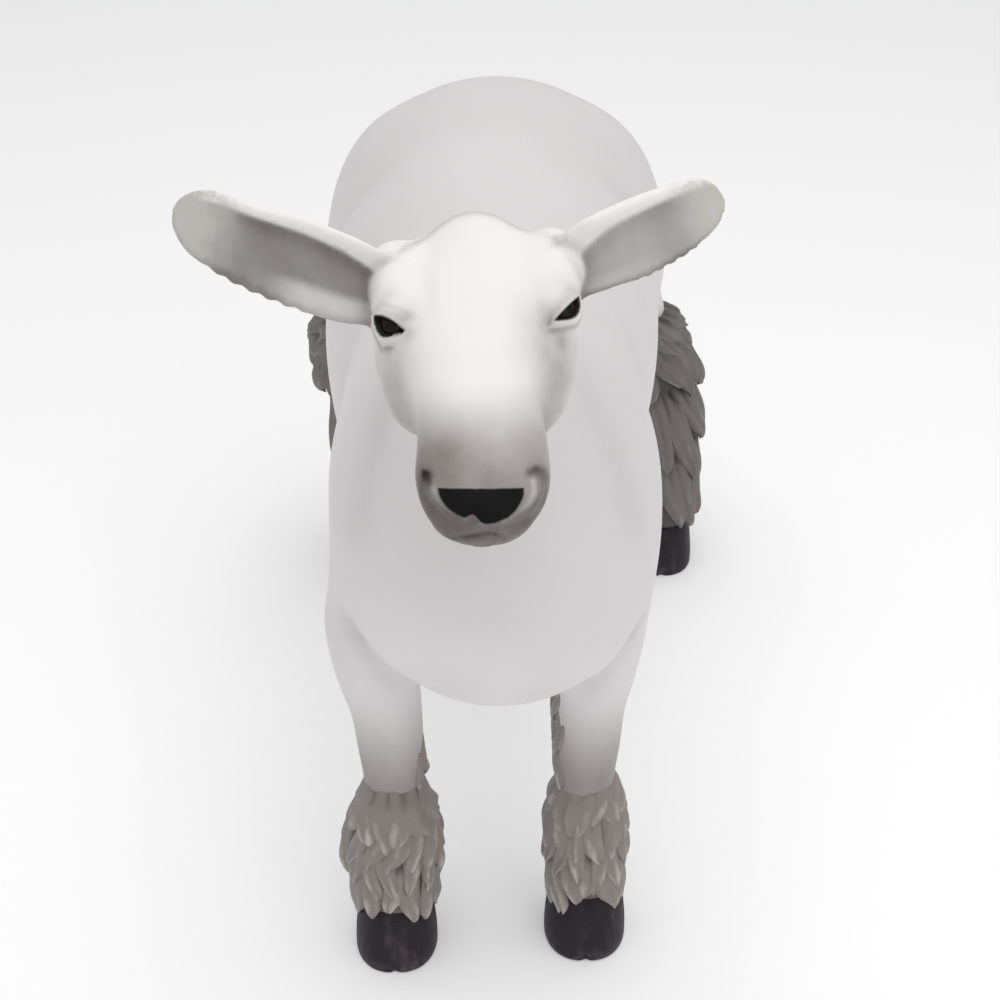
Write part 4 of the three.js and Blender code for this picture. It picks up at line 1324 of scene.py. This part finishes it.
# ---------------------------------------------------------------- pieces
@dataclass
class Skin:
    """One painted skin over trunk, neck, head, tail, ears and legs."""

    form: SkinForm = field(default_factory=SkinForm)
    share: float = 0.58
    nodes: tuple[str, ...] = ("trunk", "neck", "head", "tail", "ear_left", "ear_right",
                              *(limb.node for limb in Limb))

    def build(self) -> bpy.types.Object:
        """Meshes the form, settles it on the form, thins it and keeps its paint values."""
        points, quads = SKIN_GRID.mesh(self.form.skin)
        points = SKIN_GRID.settled(self.form.skin, points)
        piece = new_piece("skin", points, quads)
        thinned(piece, self.share)
        points = vertices_of(piece)
        for name, values in self.paint_values(points).items():
            paint_value(piece, name, values)
        return piece

    def paint_values(self, points: Array) -> dict[str, Array]:
        """What the paint needs to know at each vertex.

        Args:
            points: The vertices in the standing frame.

        Returns:
            Named numbers or vectors, one row for each vertex.
        """
        places = self.form.head_frame.inward(points)
        near_head = FACE_BOX.holds(points)
        ears = both_ears(points)
        on_ear = (1 - smooth_step(ears, 1.0, 6.0)) * HEAD_AND_EARS_BOX.holds(points)
        on_ear = on_ear * (np.abs(points[:, 0] - HEAD_MIDDLE) > 55)
        inside, tip = self.ear_shades(points)
        off_head = HEAD_AND_EARS_BOX.only(
            points, lambda near: np.minimum(self.form.head(near), both_ears(near)))
        # Black on the lids' edges, and on the wall of each opening round its ball as a painted shadow
        # in the gap.
        lid_line_and_gap = np.zeros(len(points))
        for eye in EYES:
            reach, outside, _ = eye.measure(places)
            lid_line_and_gap += (1 - smooth_step(outside, -0.1, 1.0)) * (np.abs(reach - 13) < 5)
        return {
            "eye_line": lid_line_and_gap,
            "head_place": places * MILLIMETRE,
            # Lighter paint on the head and ears, partly painted light.
            "whiteness": 1 - smooth_step(off_head, 2, 34),
            # Glaze and painted shade in creases and round the head's features.
            "glaze": np.clip(self.glaze(points, places, near_head), 0, 0.9),
            "muzzle_grey": self.muzzle_grey(places) * near_head,
            "leg_grey": self.leg_grey(points),
            "ear_inside": inside * on_ear,
            "ear_tip": tip * on_ear,
        }

    def glaze(self, points: Array, places: Array, near_head: Array) -> Array:
        """Dark glaze and painted shade in creases, round the lids, in the muzzle's grooves, behind the
        poll and round the ears' roots, with the painted face shadows.
        """
        glaze = np.zeros(len(points))
        for crease in CREASES:
            glaze += crease.wash_and_shade * crease.fall(points, crease.wash_and_shade_width)
        head = places[near_head]
        shade = self.poll_glaze_and_shade(head)
        for eye in EYES:
            shade += self.lid_line_and_shade(eye, head)
        for at, radius, share in FACE_SHADES:
            away = np.linalg.norm((head - at) / radius, axis=1)
            shade += share * np.exp(-(away**2))
        shade += self.lip_glaze_and_shade(head) + self.ear_root_shade(points[near_head], head)
        glaze[near_head] += shade
        return glaze

    def poll_glaze_and_shade(self, head: Array) -> Array:
        """Glaze and painted shade along the line where the skull ends behind the poll, which curves
        forwards at its sides.
        """
        crest = -23 + 0.0115 * (head[:, 1] - 4) ** 2
        shade = 0.36 * np.exp(-(((head[:, 0] - crest + 1.5) / 6) ** 2))
        shade *= smooth_step(head[:, 2], -60, -30) * smooth_step(head[:, 1], -62, -46)
        return shade * (1 - 0.6 * smooth_step(head[:, 1], 34, 50))

    def lid_line_and_shade(self, eye: Eye, head: Array) -> Array:
        """A dark painted line at the lids' edges, and softer painted shade in the folds above and
        below them.
        """
        reach, outside, over = eye.measure(head)
        near = np.exp(-((np.maximum(reach - 19, 0) / 3.5) ** 2))
        line = 0.4 * np.exp(-((np.maximum(outside, 0) / 0.8) ** 2))
        above = 0.34 * np.exp(-(((outside - 3.6) / 3.2) ** 2)) * (over > 0)
        below = 0.30 * np.exp(-(((outside - 8.2) / 2.4) ** 2)) * (over <= 0)
        return near * np.maximum(line, above + below)

    def lip_glaze_and_shade(self, head: Array) -> Array:
        """Grey glaze and painted shade deepening to the lips and lying in the muzzle's grooves, lifted
        along its ridges as a painted highlight.
        """
        front = muzzle_front(head)
        flat = muzzle_plane(head)
        down = flat[:, 1]
        lips = (0.16 * smooth_step(down, 158, 174) + 0.6 * smooth_step(down, 174, 194)) * front
        for line in (*NOSTRIL_PITS, *MUZZLE_LINES):
            lips += line.wash_and_shade * np.exp(-((line.away(flat) / line.wash_and_shade_width) ** 2)) * front
        return np.maximum(lips, 0)

    def ear_root_shade(self, points: Array, head: Array) -> Array:
        """Painted shade where an ear meets the skull: a bell over the distances to both."""
        apart = self.form.head(points) ** 2 + both_ears(points) ** 2
        return 0.34 * np.exp(-apart / 30) * smooth_step(np.abs(head[:, 1]), 54, 63)

    def muzzle_grey(self, places: Array) -> Array:
        """Sprayed grey that deepens down the muzzle and round its sides, lighter on the bridge, and
        lightened along its raised ridges as a painted highlight.
        """
        down = places @ MUZZLE_DOWN
        across = places[:, 1]
        side = smooth_step(np.abs(across - 4), 8, 34)
        fade = smooth_step(down + 3 * side, 104, 163) * (0.95 + 0.05 * side)
        under = smooth_step(places[:, 0], 160, 215) * smooth_step(-places[:, 2], 30, 60)
        fade = fade * smooth_step(places[:, 0], 96, 140)
        # A painted highlight along the muzzle's raised ridges takes grey away.
        ridge_highlight = np.zeros(len(places))
        near = places[:, 0] > 190
        for line in MUZZLE_LINES:
            if line.wash_and_shade < 0:
                away = line.away(muzzle_plane(places[near]))
                ridge_highlight[near] -= line.wash_and_shade * np.exp(-((away / 2.0) ** 2))
        return np.clip(np.maximum(fade, 0.8 * under) * (1 - ridge_highlight), 0, 1)

    def leg_grey(self, points: Array) -> Array:
        """Sprayed grey on each leg above its wool, darker towards the back."""
        x, y, z = points.T
        fore = (1 - smooth_step(z, 202, 326)) * (y < 300)
        rear = smooth_step(y, 10, 70) * (1 - smooth_step(z, 300, 400)) * (y < 300) * 0.7
        height = z + 0.5 * np.clip(y - 700, -70, 100)
        hind = (1 - smooth_step(height, 306, 366)) * smooth_step(y, 560, 610)
        return np.clip(np.maximum(np.maximum(fore, rear), hind), 0, 1)

    def ear_shades(self, points: Array) -> tuple[Array, Array]:
        """How dark each ear's hollow is painted, with a painted shadow under its rolled rim, and where
        its tip is.
        """
        inside = np.zeros(len(points))
        tips = np.zeros(len(points))
        for side, ear in EARS.items():
            s, across, front, _, _ = ear.leaf(points)
            mine = (points[:, 0] - HEAD_MIDDLE) * side.value > 50
            facing = smooth_step(front, -1.0, 2.0)
            edge = 0.68 - 0.9 * np.exp(-np.maximum(s, -0.1) / 0.13)
            rim = smooth_step(across - edge, -0.1, 0.08)
            # A painted shadow under the rolled upper rim, in the hollow's grey.
            fold = np.exp(-(((across - edge + 0.2) / 0.24) ** 2)) * (1 - smooth_step(s, 0.7, 0.95))
            low = smooth_step(-across, 0.36, 0.62) * (1 - smooth_step(s, 0.36, 0.58))
            shade = (0.9 + 0.1 * fold - ear.pale * low) * (1 - rim) * facing * ear.grey
            shade *= 1 - 0.4 * smooth_step(s, 0.62, 0.95)
            lower_line = 0.25 * np.exp(-(((across + 0.95) / 0.1) ** 2)) * facing
            inside = np.where(mine, np.clip(shade + lower_line, 0, 1), inside)
            tips = np.where(mine, smooth_step(s, 0.66, 0.95), tips)
        return inside, tips

    def dress(self, piece: bpy.types.Object) -> None:
        """Paints the skin and puts it in the model in place of the flesh nodes."""
        piece.data.materials.append(BodyPaint().material())
        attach(piece, "root")
        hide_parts(*self.nodes)


@dataclass(frozen=True)
class Tier:
    """One ring of locks: where they hang from and end, how many, and a lock's shape.

    Half width, thickness, and how far its end stands off, are in millimetres. The point is how much
    narrower the lock is at its end, and the sweep how far it turns outwards round the leg, in radians.
    """

    root: float
    end: float
    count: int
    width: float
    thickness: float
    flare: float
    point: float
    sweep: float


FORE_TIERS = (
    Tier(128, 58, 12, 15, 7.0, 1.0, 0.6, 0.1), Tier(164, 86, 13, 13, 7.5, 2.0, 0.85, -0.12),
    Tier(184, 116, 13, 14, 7.5, 2.0, 0.6, 0.1), Tier(208, 146, 12, 18, 7.0, 1.5, 0.35, 0.0),
)
WISP_TIERS = (
    Tier(262, 190, 2, 9, 5.5, 2.0, 0.7, 0.0), Tier(298, 226, 2, 9, 5.0, 2.5, 0.7, 0.1),
    Tier(334, 262, 2, 9, 5.0, 2.5, 0.7, -0.1), Tier(362, 296, 2, 8, 4.0, 2.0, 0.7, 0.0),
)
HIND_TIERS = (
    Tier(206, 66, 12, 20, 10, 2.0, 0.55, 0.4), Tier(276, 144, 11, 21, 11, 7.5, 0.6, 0.6),
    Tier(334, 214, 11, 22, 12, 9.5, 0.6, 0.6), Tier(342, 268, 11, 21, 10, 6.5, 0.6, 0.55),
    Tier(350, 302, 10, 19, 8, 4.0, 0.5, 0.5),
)


@dataclass
class WoolCuff:
    """The sculpted wool on one lower leg: overlapping tiers of broad ridged locks round a core.

    A lock's section is a flattened oval with ridged strands on its outer side. Its root lies inside
    the leg; it comes out to the wool's own surface, hangs down with a slight sideways swing, and
    stands off at its blunt end, over the root of the tier below.
    """

    limb: Limb
    seed: int
    fore_rows: tuple[tuple[float, float, float], ...] = (
        (45, 44, 46), (75, 47, 49), (100, 50, 52), (135, 50, 53), (162, 45, 48), (185, 38, 42),
        (208, 33, 38), (240, 33, 38))
    hind_rows: tuple[tuple[float, float, float], ...] = (
        (60, 43, 44), (90, 46, 50), (140, 51, 55), (210, 49, 57), (250, 48, 62), (280, 47, 65),
        (330, 46, 67), (390, 42, 66))
    base_share: float = 0.86
    sink: float = 4.0
    wisp_rise: float = 2.4
    core_foot: float = 66.0
    core_depth: float = 2.0
    fore_top: float = 182.0
    hind_top: float = 322.0
    hind_fall: float = 22.0
    core_rows: int = 26
    core_columns: int = 48
    along: int = 24
    around: int = 28
    patch: float = 0.003

    @property
    def size(self) -> float:
        """How full this leg's wool is against the fullest."""
        return {Limb.FORE_LEFT: 0.81, Limb.FORE_RIGHT: 0.9, Limb.HIND_RIGHT: 0.95}.get(
            self.limb, 1.0)

    def rings(self, height: Array) -> Array:
        """The wool's middle across and along, and its half width and half depth, last axis."""
        leg = LegForm(self.limb)
        rows = np.asarray(leg.stations, float)
        offsets = smooth_columns(tuple(map(tuple, rows[:, :3])))(height)
        halves = smooth_columns(self.fore_rows if self.limb.is_fore else self.hind_rows)(height)
        x = leg.middle(height) + self.limb.sign * offsets[..., 0] * 0.6
        y = self.limb.foot[1] + offsets[..., 1] * 0.85
        return np.stack([x, y, halves[..., 0] * self.size * self.base_share,
                         halves[..., 1] * self.size * self.base_share], axis=-1)

    def leg_rings(self, height: Array) -> Array:
        """The same of the leg itself, a little below its surface."""
        return smooth_columns(LegForm(self.limb).table())(height) - (0, 0, self.sink, self.sink)

    def top(self, angle: Array) -> Array:
        """The height where the core ends above: level on a foreleg, falling back on a hind one."""
        if self.limb.is_fore:
            return np.full_like(angle, self.fore_top)
        return self.hind_top - self.hind_fall * np.sin(angle)

    def bulge(self, angle: Array, height: Array) -> Array:
        """A swelling low on the outer side of the right foreleg's wool."""
        if self.limb is not Limb.FORE_RIGHT:
            return 0 * angle * height
        side = np.maximum(-np.cos(angle + 0.25), 0) ** 2
        return 8 * side * np.exp(-(((height - 120) / 26) ** 2))

    def core_caps(self) -> Array:
        """Quads that close the core below and above, each over two steps of its ring."""
        rows, columns = self.core_rows, self.core_columns
        ring = np.arange(0, columns, 2)
        base = (rows - 1) * columns
        below = np.full(len(ring), rows * columns)
        lower = np.stack([below, (ring + 2) % columns, ring + 1, ring], axis=1)
        upper = np.stack([below + 1, base + ring, base + ring + 1, base + (ring + 2) % columns],
                         axis=1)
        return np.concatenate([lower, upper])

    def core_mesh(self) -> tuple[Array, Array, Array, Array]:
        """The core under the locks: vertices, quads, raised values and map places per corner."""
        rows, columns = self.core_rows, self.core_columns
        angle = np.linspace(0, 2 * np.pi, columns, endpoint=False)
        level = np.linspace(0, 1, rows)[:, None]
        height = self.core_foot + (self.top(angle)[None] - self.core_foot) * level
        wool = self.rings(height)
        closing = smooth_step(level, 0.86, 1.0)[..., None]
        x, y, half, depth = np.moveaxis(wool + (self.leg_rings(height) - wool) * closing, -1, 0)
        lift = self.bulge(angle[None], height) - self.core_depth
        wall = np.stack([x + (half + lift) * np.cos(angle),
                         y + (depth + lift) * np.sin(angle), height], axis=-1)
        faces = np.concatenate([grid_faces(rows, columns, True), self.core_caps()])
        place = np.stack([np.broadcast_to(angle / (2 * np.pi), (rows, columns)),
                          np.broadcast_to(0.01 + 0.16 * level, (rows, columns))], axis=-1)
        place = np.concatenate([place.reshape(-1, 2), [(0.5, 0.005), (0.5, 0.175)]])
        corners = place[faces]
        corners[..., 0] += wrapped(faces % columns, columns) * (faces < rows * columns)
        corners[..., 0] = 0.02 + 0.95 * corners[..., 0]
        points = np.concatenate([wall.reshape(-1, 3), wall[0].mean(0)[None],
                                 wall[-1].mean(0)[None]])
        # The core sits at a low raised value, so it takes the hollow grey as painted shade under the
        # locks.
        return points, faces, np.full(len(points), 0.22), corners

    def lock_rings(self, rng: np.random.Generator) -> list[tuple[Tier, Array, float]]:
        """Each tier with its locks' angles, and 1 where they are wisps that lie on the leg."""
        rings = []
        for rank, tier in enumerate(FORE_TIERS if self.limb.is_fore else HIND_TIERS):
            even = (np.arange(tier.count) + 0.5 * (rank % 2)) / tier.count * 2 * np.pi
            rings.append((tier, even + rng.normal(0, 0.05, tier.count), 0.0))
        if self.limb.is_fore:
            inner = np.pi / 2 + self.limb.sign * 1.75
            wisps = WISP_TIERS if self.limb.sign > 0 else WISP_TIERS[:1]
            rings += [(tier, inner + np.array([-0.3, 0.22]), 1.0) for tier in wisps]
        return rings

    def roots(self, rng: np.random.Generator) -> dict[str, Array]:
        """Each lock's angle and tier sizes, with a little disorder, as columns by name."""
        rings = self.lock_rings(rng)
        columns = {name: np.concatenate([
            np.full(len(ring), float(getattr(tier, name))) for tier, ring, _ in rings])
            for name in ("root", "end", "width", "thickness", "flare", "point", "sweep")}
        columns["angle"] = np.concatenate([ring for _, ring, _ in rings])
        columns["wisp"] = np.concatenate([np.full(len(ring), wisp) for _, ring, wisp in rings])
        count = len(columns["angle"])
        fall = 0 if self.limb.is_fore else -self.hind_fall * np.sin(columns["angle"])
        columns["thickness"] *= 0.3 + 0.7 * self.size
        columns["root"] += rng.normal(0, 3, count) + fall * (columns["root"] > 300)
        columns["end"] += rng.normal(0, 5 if self.limb.is_fore else 8, count)
        columns["end"] += fall * (columns["root"] > 300)
        if self.limb.is_fore:
            columns["end"] -= 16 * np.cos(columns["angle"]) ** 2 * (columns["end"] < 80)
        columns["size"] = rng.uniform(0.9, 1.12, count)
        columns["swing"] = rng.choice([-1.0, 1.0], count) * rng.uniform(2.0, 6.5, count)
        columns["phase"] = rng.uniform(0, 2 * np.pi, count)
        return {name: values[:, None, None] for name, values in columns.items()}

    def lock_shape(self, lock: dict[str, Array], u: Array, v: Array) -> tuple[Array, ...]:
        """A lock's form before it is bent round the leg.

        Args:
            lock: The locks' columns by name.
            u: The place along a lock, from its root (0) to its end (1).
            v: The angle round a lock's section.

        Returns:
            The half width, the height above the lock's middle, and how high the strands stand.
        """
        across, outward = np.cos(v), np.sin(v)
        strands = np.where(lock["width"] > 20, 3.0, 2.0)
        strand = np.cos(2 * np.pi * strands * across * 0.5 + lock["phase"] + 1.2 * np.sin(3 * u))
        crimp = np.sin(2 * np.pi * 1.6 * u + 1.7 * lock["phase"] + 1.5 * across)
        wide = lock["width"] * lock["size"] * (1 - lock["point"] * u**2.4 * 0.8)
        wide = wide * np.sqrt(np.maximum(1 - u**9, 0.003)) * (0.8 + 0.2 * smooth_step(u, 0, 0.3))
        thick = lock["thickness"] * lock["size"] * (0.45 + 0.55 * smooth_step(u, 0.1, 0.8))
        thick = thick * np.sqrt(np.maximum(1 - u**12, 0.003))
        ridge = np.where(outward > 0, 1 + (0.26 * strand + 0.16 * crimp) * outward, 1)
        return wide, thick * outward * ridge, 0.75 + 0.35 * strand + 0.15 * crimp

    def lock_map(self, lock: dict[str, Array], faces: Array) -> Array:
        """Where each corner lies on the map: every lock has a patch at its root's own place."""
        u = np.linspace(0, 1, self.along)[None, :, None]
        turn = np.arange(self.around) / self.around
        place = np.empty((len(lock["angle"]), self.along, self.around, 2))
        place[..., 0] = 0.03 + 0.94 * np.mod(lock["angle"] / (2 * np.pi), 1) + self.patch * turn
        place[..., 1] = 0.2 + 0.76 * (lock["root"] - 60) / 350 + self.patch * (1 - u)
        corners = place.reshape(-1, 2)[faces]
        corners[..., 0] += wrapped(faces % self.around, self.around) * self.patch
        return corners

    def lock_mesh(self) -> tuple[Array, Array, Array, Array]:
        """All the locks at once: vertices, quads, raised values and map places per corner.

        Each lock runs down from its root on the leg to the wool's own surface, turned round the leg
        by its angle, its swing and its sweep, and lifted by its flare towards its end.
        """
        lock = self.roots(np.random.default_rng(self.seed))
        u = np.linspace(0, 1, self.along)[None, :, None]
        v = np.linspace(0, 2 * np.pi, self.around, endpoint=False)[None, None, :]
        across, outward = np.cos(v), np.sin(v)
        wide, swell, strands = self.lock_shape(lock, u, v)
        height = lock["root"] + (lock["end"] - lock["root"]) * u
        height = height + lock["point"] * 10 * across**2 * smooth_step(u, 0.7, 1.0)
        rise = self.wisp_rise * (lock["wisp"] * smooth_step(u, 0.0, 0.3))[..., None]
        leg = self.leg_rings(height) + rise * (0, 0, 1, 1)
        out = smooth_step(u, 0.0, 0.36) * (1 - lock["wisp"])
        x, y, half, depth = np.moveaxis(leg + (self.rings(height) - leg) * out[..., None], -1, 0)
        sway = lock["swing"] * np.sin(np.pi * 1.4 * u)
        turn = lock["angle"] + (sway + across * wide) / ((half + depth) / 2)
        turn = turn + self.limb.sign * lock["sweep"] * u
        lift = lock["flare"] * u**2.2 + swell + self.bulge(turn, height) * out
        points = np.stack([x + (half + lift) * np.cos(turn), y + (depth + lift) * np.sin(turn),
                           height + 0 * turn], axis=-1)
        # Low on a lock's inner side and towards its root, as painted shade under the locks above;
        # lower still on the hind legs, as painted shade under the body.
        raised = (0.28 if self.limb.is_fore else 0.16) + 0.46 * np.maximum(outward, 0) * strands
        raised = raised + 0.5 * (u - 0.5) + 0 * turn
        quads = grid_faces(self.along, self.around, True)
        first = np.arange(len(lock["angle"]))[:, None, None] * self.along * self.around
        faces = (first + quads[None]).reshape(-1, 4)[:, ::-1]
        return points.reshape(-1, 3), faces, raised.reshape(-1), self.lock_map(lock, faces)

    def build(self) -> bpy.types.Object:
        """Joins the core and the locks into one piece with its map."""
        core, core_faces, core_raised, core_place = self.core_mesh()
        locks, lock_faces, lock_raised, lock_place = self.lock_mesh()
        points = np.concatenate([core, locks])
        faces = np.concatenate([core_faces, lock_faces + len(core)])
        piece = new_piece(f"{self.limb.node}_wool_locks", points, faces)
        paint_value(piece, "raised", np.concatenate([core_raised, lock_raised]))
        place = np.concatenate([core_place, lock_place]).reshape(-1, 2)
        layer = piece.data.uv_layers.new(name="OFBake")
        layer.data.foreach_set("uv", place.astype(np.float32).ravel())
        return piece

    def dress(self, piece: bpy.types.Object) -> None:
        """Paints the wool and puts it in place of its node."""
        piece.data.materials.append(FORE_WOOL_PAINT if self.limb.is_fore else SHADED_HIND_WOOL_PAINT)
        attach(piece, "root")
        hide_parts(f"{self.limb.node}_wool")


# Rows of height, size against the sole's outline, and share of the lean, from the sole's middle.
HOOF_WALL = (
    (0.6, 0.0, 0.0), (0.6, 0.5, 0.0), (0.4, 0.93, 0.0), (0.0, 0.96, 0.0), (1.0, 0.985, 0.0),
    (3.0, 1.0, 0.0), (8.0, 1.0, 0.02), (16.0, 0.997, 0.1), (24.0, 0.99, 0.2), (34.0, 0.97, 0.33),
    (46.0, 0.94, 0.52), (58.0, 0.90, 0.73), (66.0, 0.87, 0.9), (71.4, 0.80, 1.0),
    (71.4, 0.4, 1.0), (71.4, 0.0, 1.0),
)


@dataclass
class Hoof:
    """A cloven hoof: a flat-soled wall round a rounded outline, with a cleft in front and behind.

    The outline is a superellipse, wider ahead, less a bell-shaped notch at its middle. It is carried
    up the wall, where it narrows and leans back.
    """

    limb: Limb
    width: float = 80.0
    length: float = 94.0
    power: float = 0.82
    lean: float = 17.0
    cleft: float = 2.6
    around: int = 132

    def outline(self) -> Array:
        """Evenly spaced places round the sole at full size."""
        angle = np.linspace(0, 2 * np.pi, 6001)
        x = np.sign(np.cos(angle)) * np.abs(np.cos(angle)) ** self.power * self.width / 2
        ahead = np.sin(angle)
        notch = np.where(ahead < 0, self.cleft, -4.0) * np.exp(-((x / 3.4) ** 2))
        y = ahead * self.length / 2 + notch
        run = np.concatenate([[0], np.cumsum(np.hypot(np.diff(x), np.diff(y)))])
        even = np.linspace(0, run[-1], self.around, endpoint=False)
        return np.stack([np.interp(even, run, x), np.interp(even, run, y)], axis=1)

    def build(self) -> bpy.types.Object:
        """The wall, the sole and the hidden top as one closed grid."""
        outline = self.outline()
        height, size, lean = (np.array(column)[:, None] for column in zip(*HOOF_WALL))
        ahead = outline[None, :, 1] < 0
        ripple = 1 + 0.004 * np.sin(height * 0.9) * (height > 3)
        x = outline[None, :, 0] * size * ripple
        shift = lean * self.lean * np.where(ahead, 1, 0.15) * np.minimum(
            np.abs(outline[None, :, 1]) / 12, 1)
        y = outline[None, :, 1] * size * ripple + shift
        sole = np.where(height < 1, 2.0 * np.exp(-((x / 3) ** 2)) * (size > 0.1) * (size < 0.95), 0)
        points = np.stack([self.limb.foot[0] + x, self.limb.foot[1] + y,
                           height + sole + 0 * x], axis=-1).reshape(-1, 3)
        piece = new_piece(f"{self.limb.node}_hoof_wall", points,
                          grid_faces(len(HOOF_WALL), self.around, True))
        wear = np.exp(-((height / 9) ** 2)) + 0.35 * np.exp(-((x / 7) ** 2)) * ahead
        paint_value(piece, "wear", np.clip(wear + 0 * x, 0, 1).reshape(-1))
        return piece

    def dress(self, piece: bpy.types.Object) -> None:
        """Paints the hoof and puts it in place of its node."""
        piece.data.materials.append(HOOF_PAINT)
        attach(piece, "root")
        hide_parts(f"{self.limb.node}_hoof")


@dataclass
class EyeBall:
    """A painted ball set behind the lids, with a slight swelling at the cornea."""

    eye: Eye
    rows: int = 33
    columns: int = 48
    swell: float = 0.9

    def build(self) -> bpy.types.Object:
        """A sphere on a grid of angles, its pole facing out, raised by a bell round the pole."""
        tilt = np.linspace(0.0, np.pi, self.rows)[:, None]
        spin = np.linspace(0, 2 * np.pi, self.columns, endpoint=False)[None]
        radius = self.eye.radius - 0.15 + self.swell * np.exp(-((tilt / 0.55) ** 2)) - self.swell
        slit = radius * np.sin(tilt) * np.cos(spin)
        across = radius * np.sin(tilt) * np.sin(spin)
        out = radius * np.cos(tilt) + 0 * spin
        local = np.stack([slit, across, out], axis=-1).reshape(-1, 3)
        places = local @ self.eye.axes() + self.eye.centre
        points = HeadFrame().outward(places)
        piece = new_piece(f"{self.eye.node}_ball", points,
                          grid_faces(self.rows, self.columns, True)[:, ::-1])
        paint_value(piece, "eye_place", local)
        return piece

    def dress(self, piece: bpy.types.Object) -> None:
        """Paints the eye and puts it in place of its node."""
        piece.data.materials.append(EYE_PAINT)
        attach(piece, "root")
        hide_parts(self.eye.node)


FORE_WOOL_PAINT = WoolPaint("grey fore wool paint", srgb(88, 82, 79), srgb(140, 133, 129),
                            srgb(196, 190, 182)).material()
# The hind wool is painted darker than the fore wool, as painted shade under the body.
SHADED_HIND_WOOL_PAINT = WoolPaint("grey hind wool paint", srgb(62, 57, 55), srgb(116, 110, 107),
                            srgb(166, 162, 156)).material()
HOOF_PAINT = HoofPaint().material()
EYE_PAINT = EyePaint().material()


# ---------------------------------------------------------------- studio
@dataclass(frozen=True)
class Studio:
    """A plain pale floor, a soft light overhead, a softer one in front, and the camera."""

    camera_place: tuple[float, float, float] = (-0.0118, -1.6572, 1.3873)
    camera_down: float = math.radians(31.452)
    lens: float = 70.38
    floor_half: float = 14.0
    sky: float = 0.56
    overhead_place: tuple[float, float, float] = (0.15, -0.3, 3.2)
    front_place: tuple[float, float, float] = (1.4, -3.2, 2.2)
    lit_height: float = 0.5

    def build(self) -> None:
        """Makes the floor, the lights, the world's glow and the camera."""
        self.floor()
        self.light("overhead softbox", self.overhead_place, 2.8, 36)
        self.light("front softbox", self.front_place, 2.2, 11)
        world = bpy.data.worlds.new("studio glow")
        world.use_nodes = True
        background = world.node_tree.nodes["Background"]
        background.inputs["Color"].default_value = (1.0, 1.0, 1.0, 1.0)
        background.inputs["Strength"].default_value = self.sky
        bpy.context.scene.world = world
        bpy.context.scene.view_settings.view_transform = "Standard"
        self.camera()

    def floor(self) -> None:
        """A flat pale floor that fills the view."""
        h = self.floor_half / MILLIMETRE
        corners = np.array([(-h, -h, 0), (h, -h, 0), (h, h, 0), (-h, h, 0)], float)
        floor = new_piece("studio_floor", corners, np.array([[0, 1, 2, 3]]), standing=False)
        paint = Paint("pale studio floor", Roughness=0.9, Specular_IOR_Level=0.1,
                      Emission_Color=(1.0, 1.0, 1.0), Emission_Strength=0.18)
        paint.set(Base_Color=paint.blend(paint.noise(3, 2) * 0.2, (0.96, 0.96, 0.965),
                                         (0.94, 0.94, 0.95)))
        floor.data.materials.append(paint.material)

    def light(self, name: str, place: tuple[float, float, float], size: float,
              power: float) -> None:
        """One square soft light aimed at the middle of the sheep."""
        data = bpy.data.lights.new(name, "AREA")
        data.size = size
        data.energy = power
        lamp = bpy.data.objects.new(name, data)
        lamp.location = place
        aim = np.array((0.0, 0.0, self.lit_height)) - np.array(place)
        lamp.rotation_euler = lamp_turn(aim)
        bpy.context.scene.collection.objects.link(lamp)

    def camera(self) -> None:
        """The camera, level across and looking down."""
        data = bpy.data.cameras.new("camera")
        data.lens = self.lens
        data.sensor_width = 36
        data.clip_end = 100
        camera = bpy.data.objects.new("camera", data)
        camera.location = self.camera_place
        camera.rotation_euler = (math.pi / 2 - self.camera_down, 0, 0)
        bpy.context.scene.collection.objects.link(camera)
        bpy.context.scene.camera = camera


def lamp_turn(aim: Array) -> tuple[float, float, float]:
    """The turn that points a lamp's -Z along a direction."""
    return tuple(Vector(aim).to_track_quat("-Z", "Y").to_euler())


def main() -> None:
    """Builds every piece in order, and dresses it."""
    logging.basicConfig(level=logging.INFO, format="%(message)s")
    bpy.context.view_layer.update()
    Studio().build()
    makers = [Skin(), *(EyeBall(eye) for eye in EYES), *(Hoof(limb) for limb in Limb),
              *(WoolCuff(limb, 11 + n) for n, limb in enumerate(Limb))]
    for maker in makers:
        piece = maker.build()
        maker.dress(piece)
        log.info("%s: %d vertices, %d faces", piece.name, len(piece.data.vertices),
                 len(piece.data.polygons))


if __name__ == "__main__":
    main()
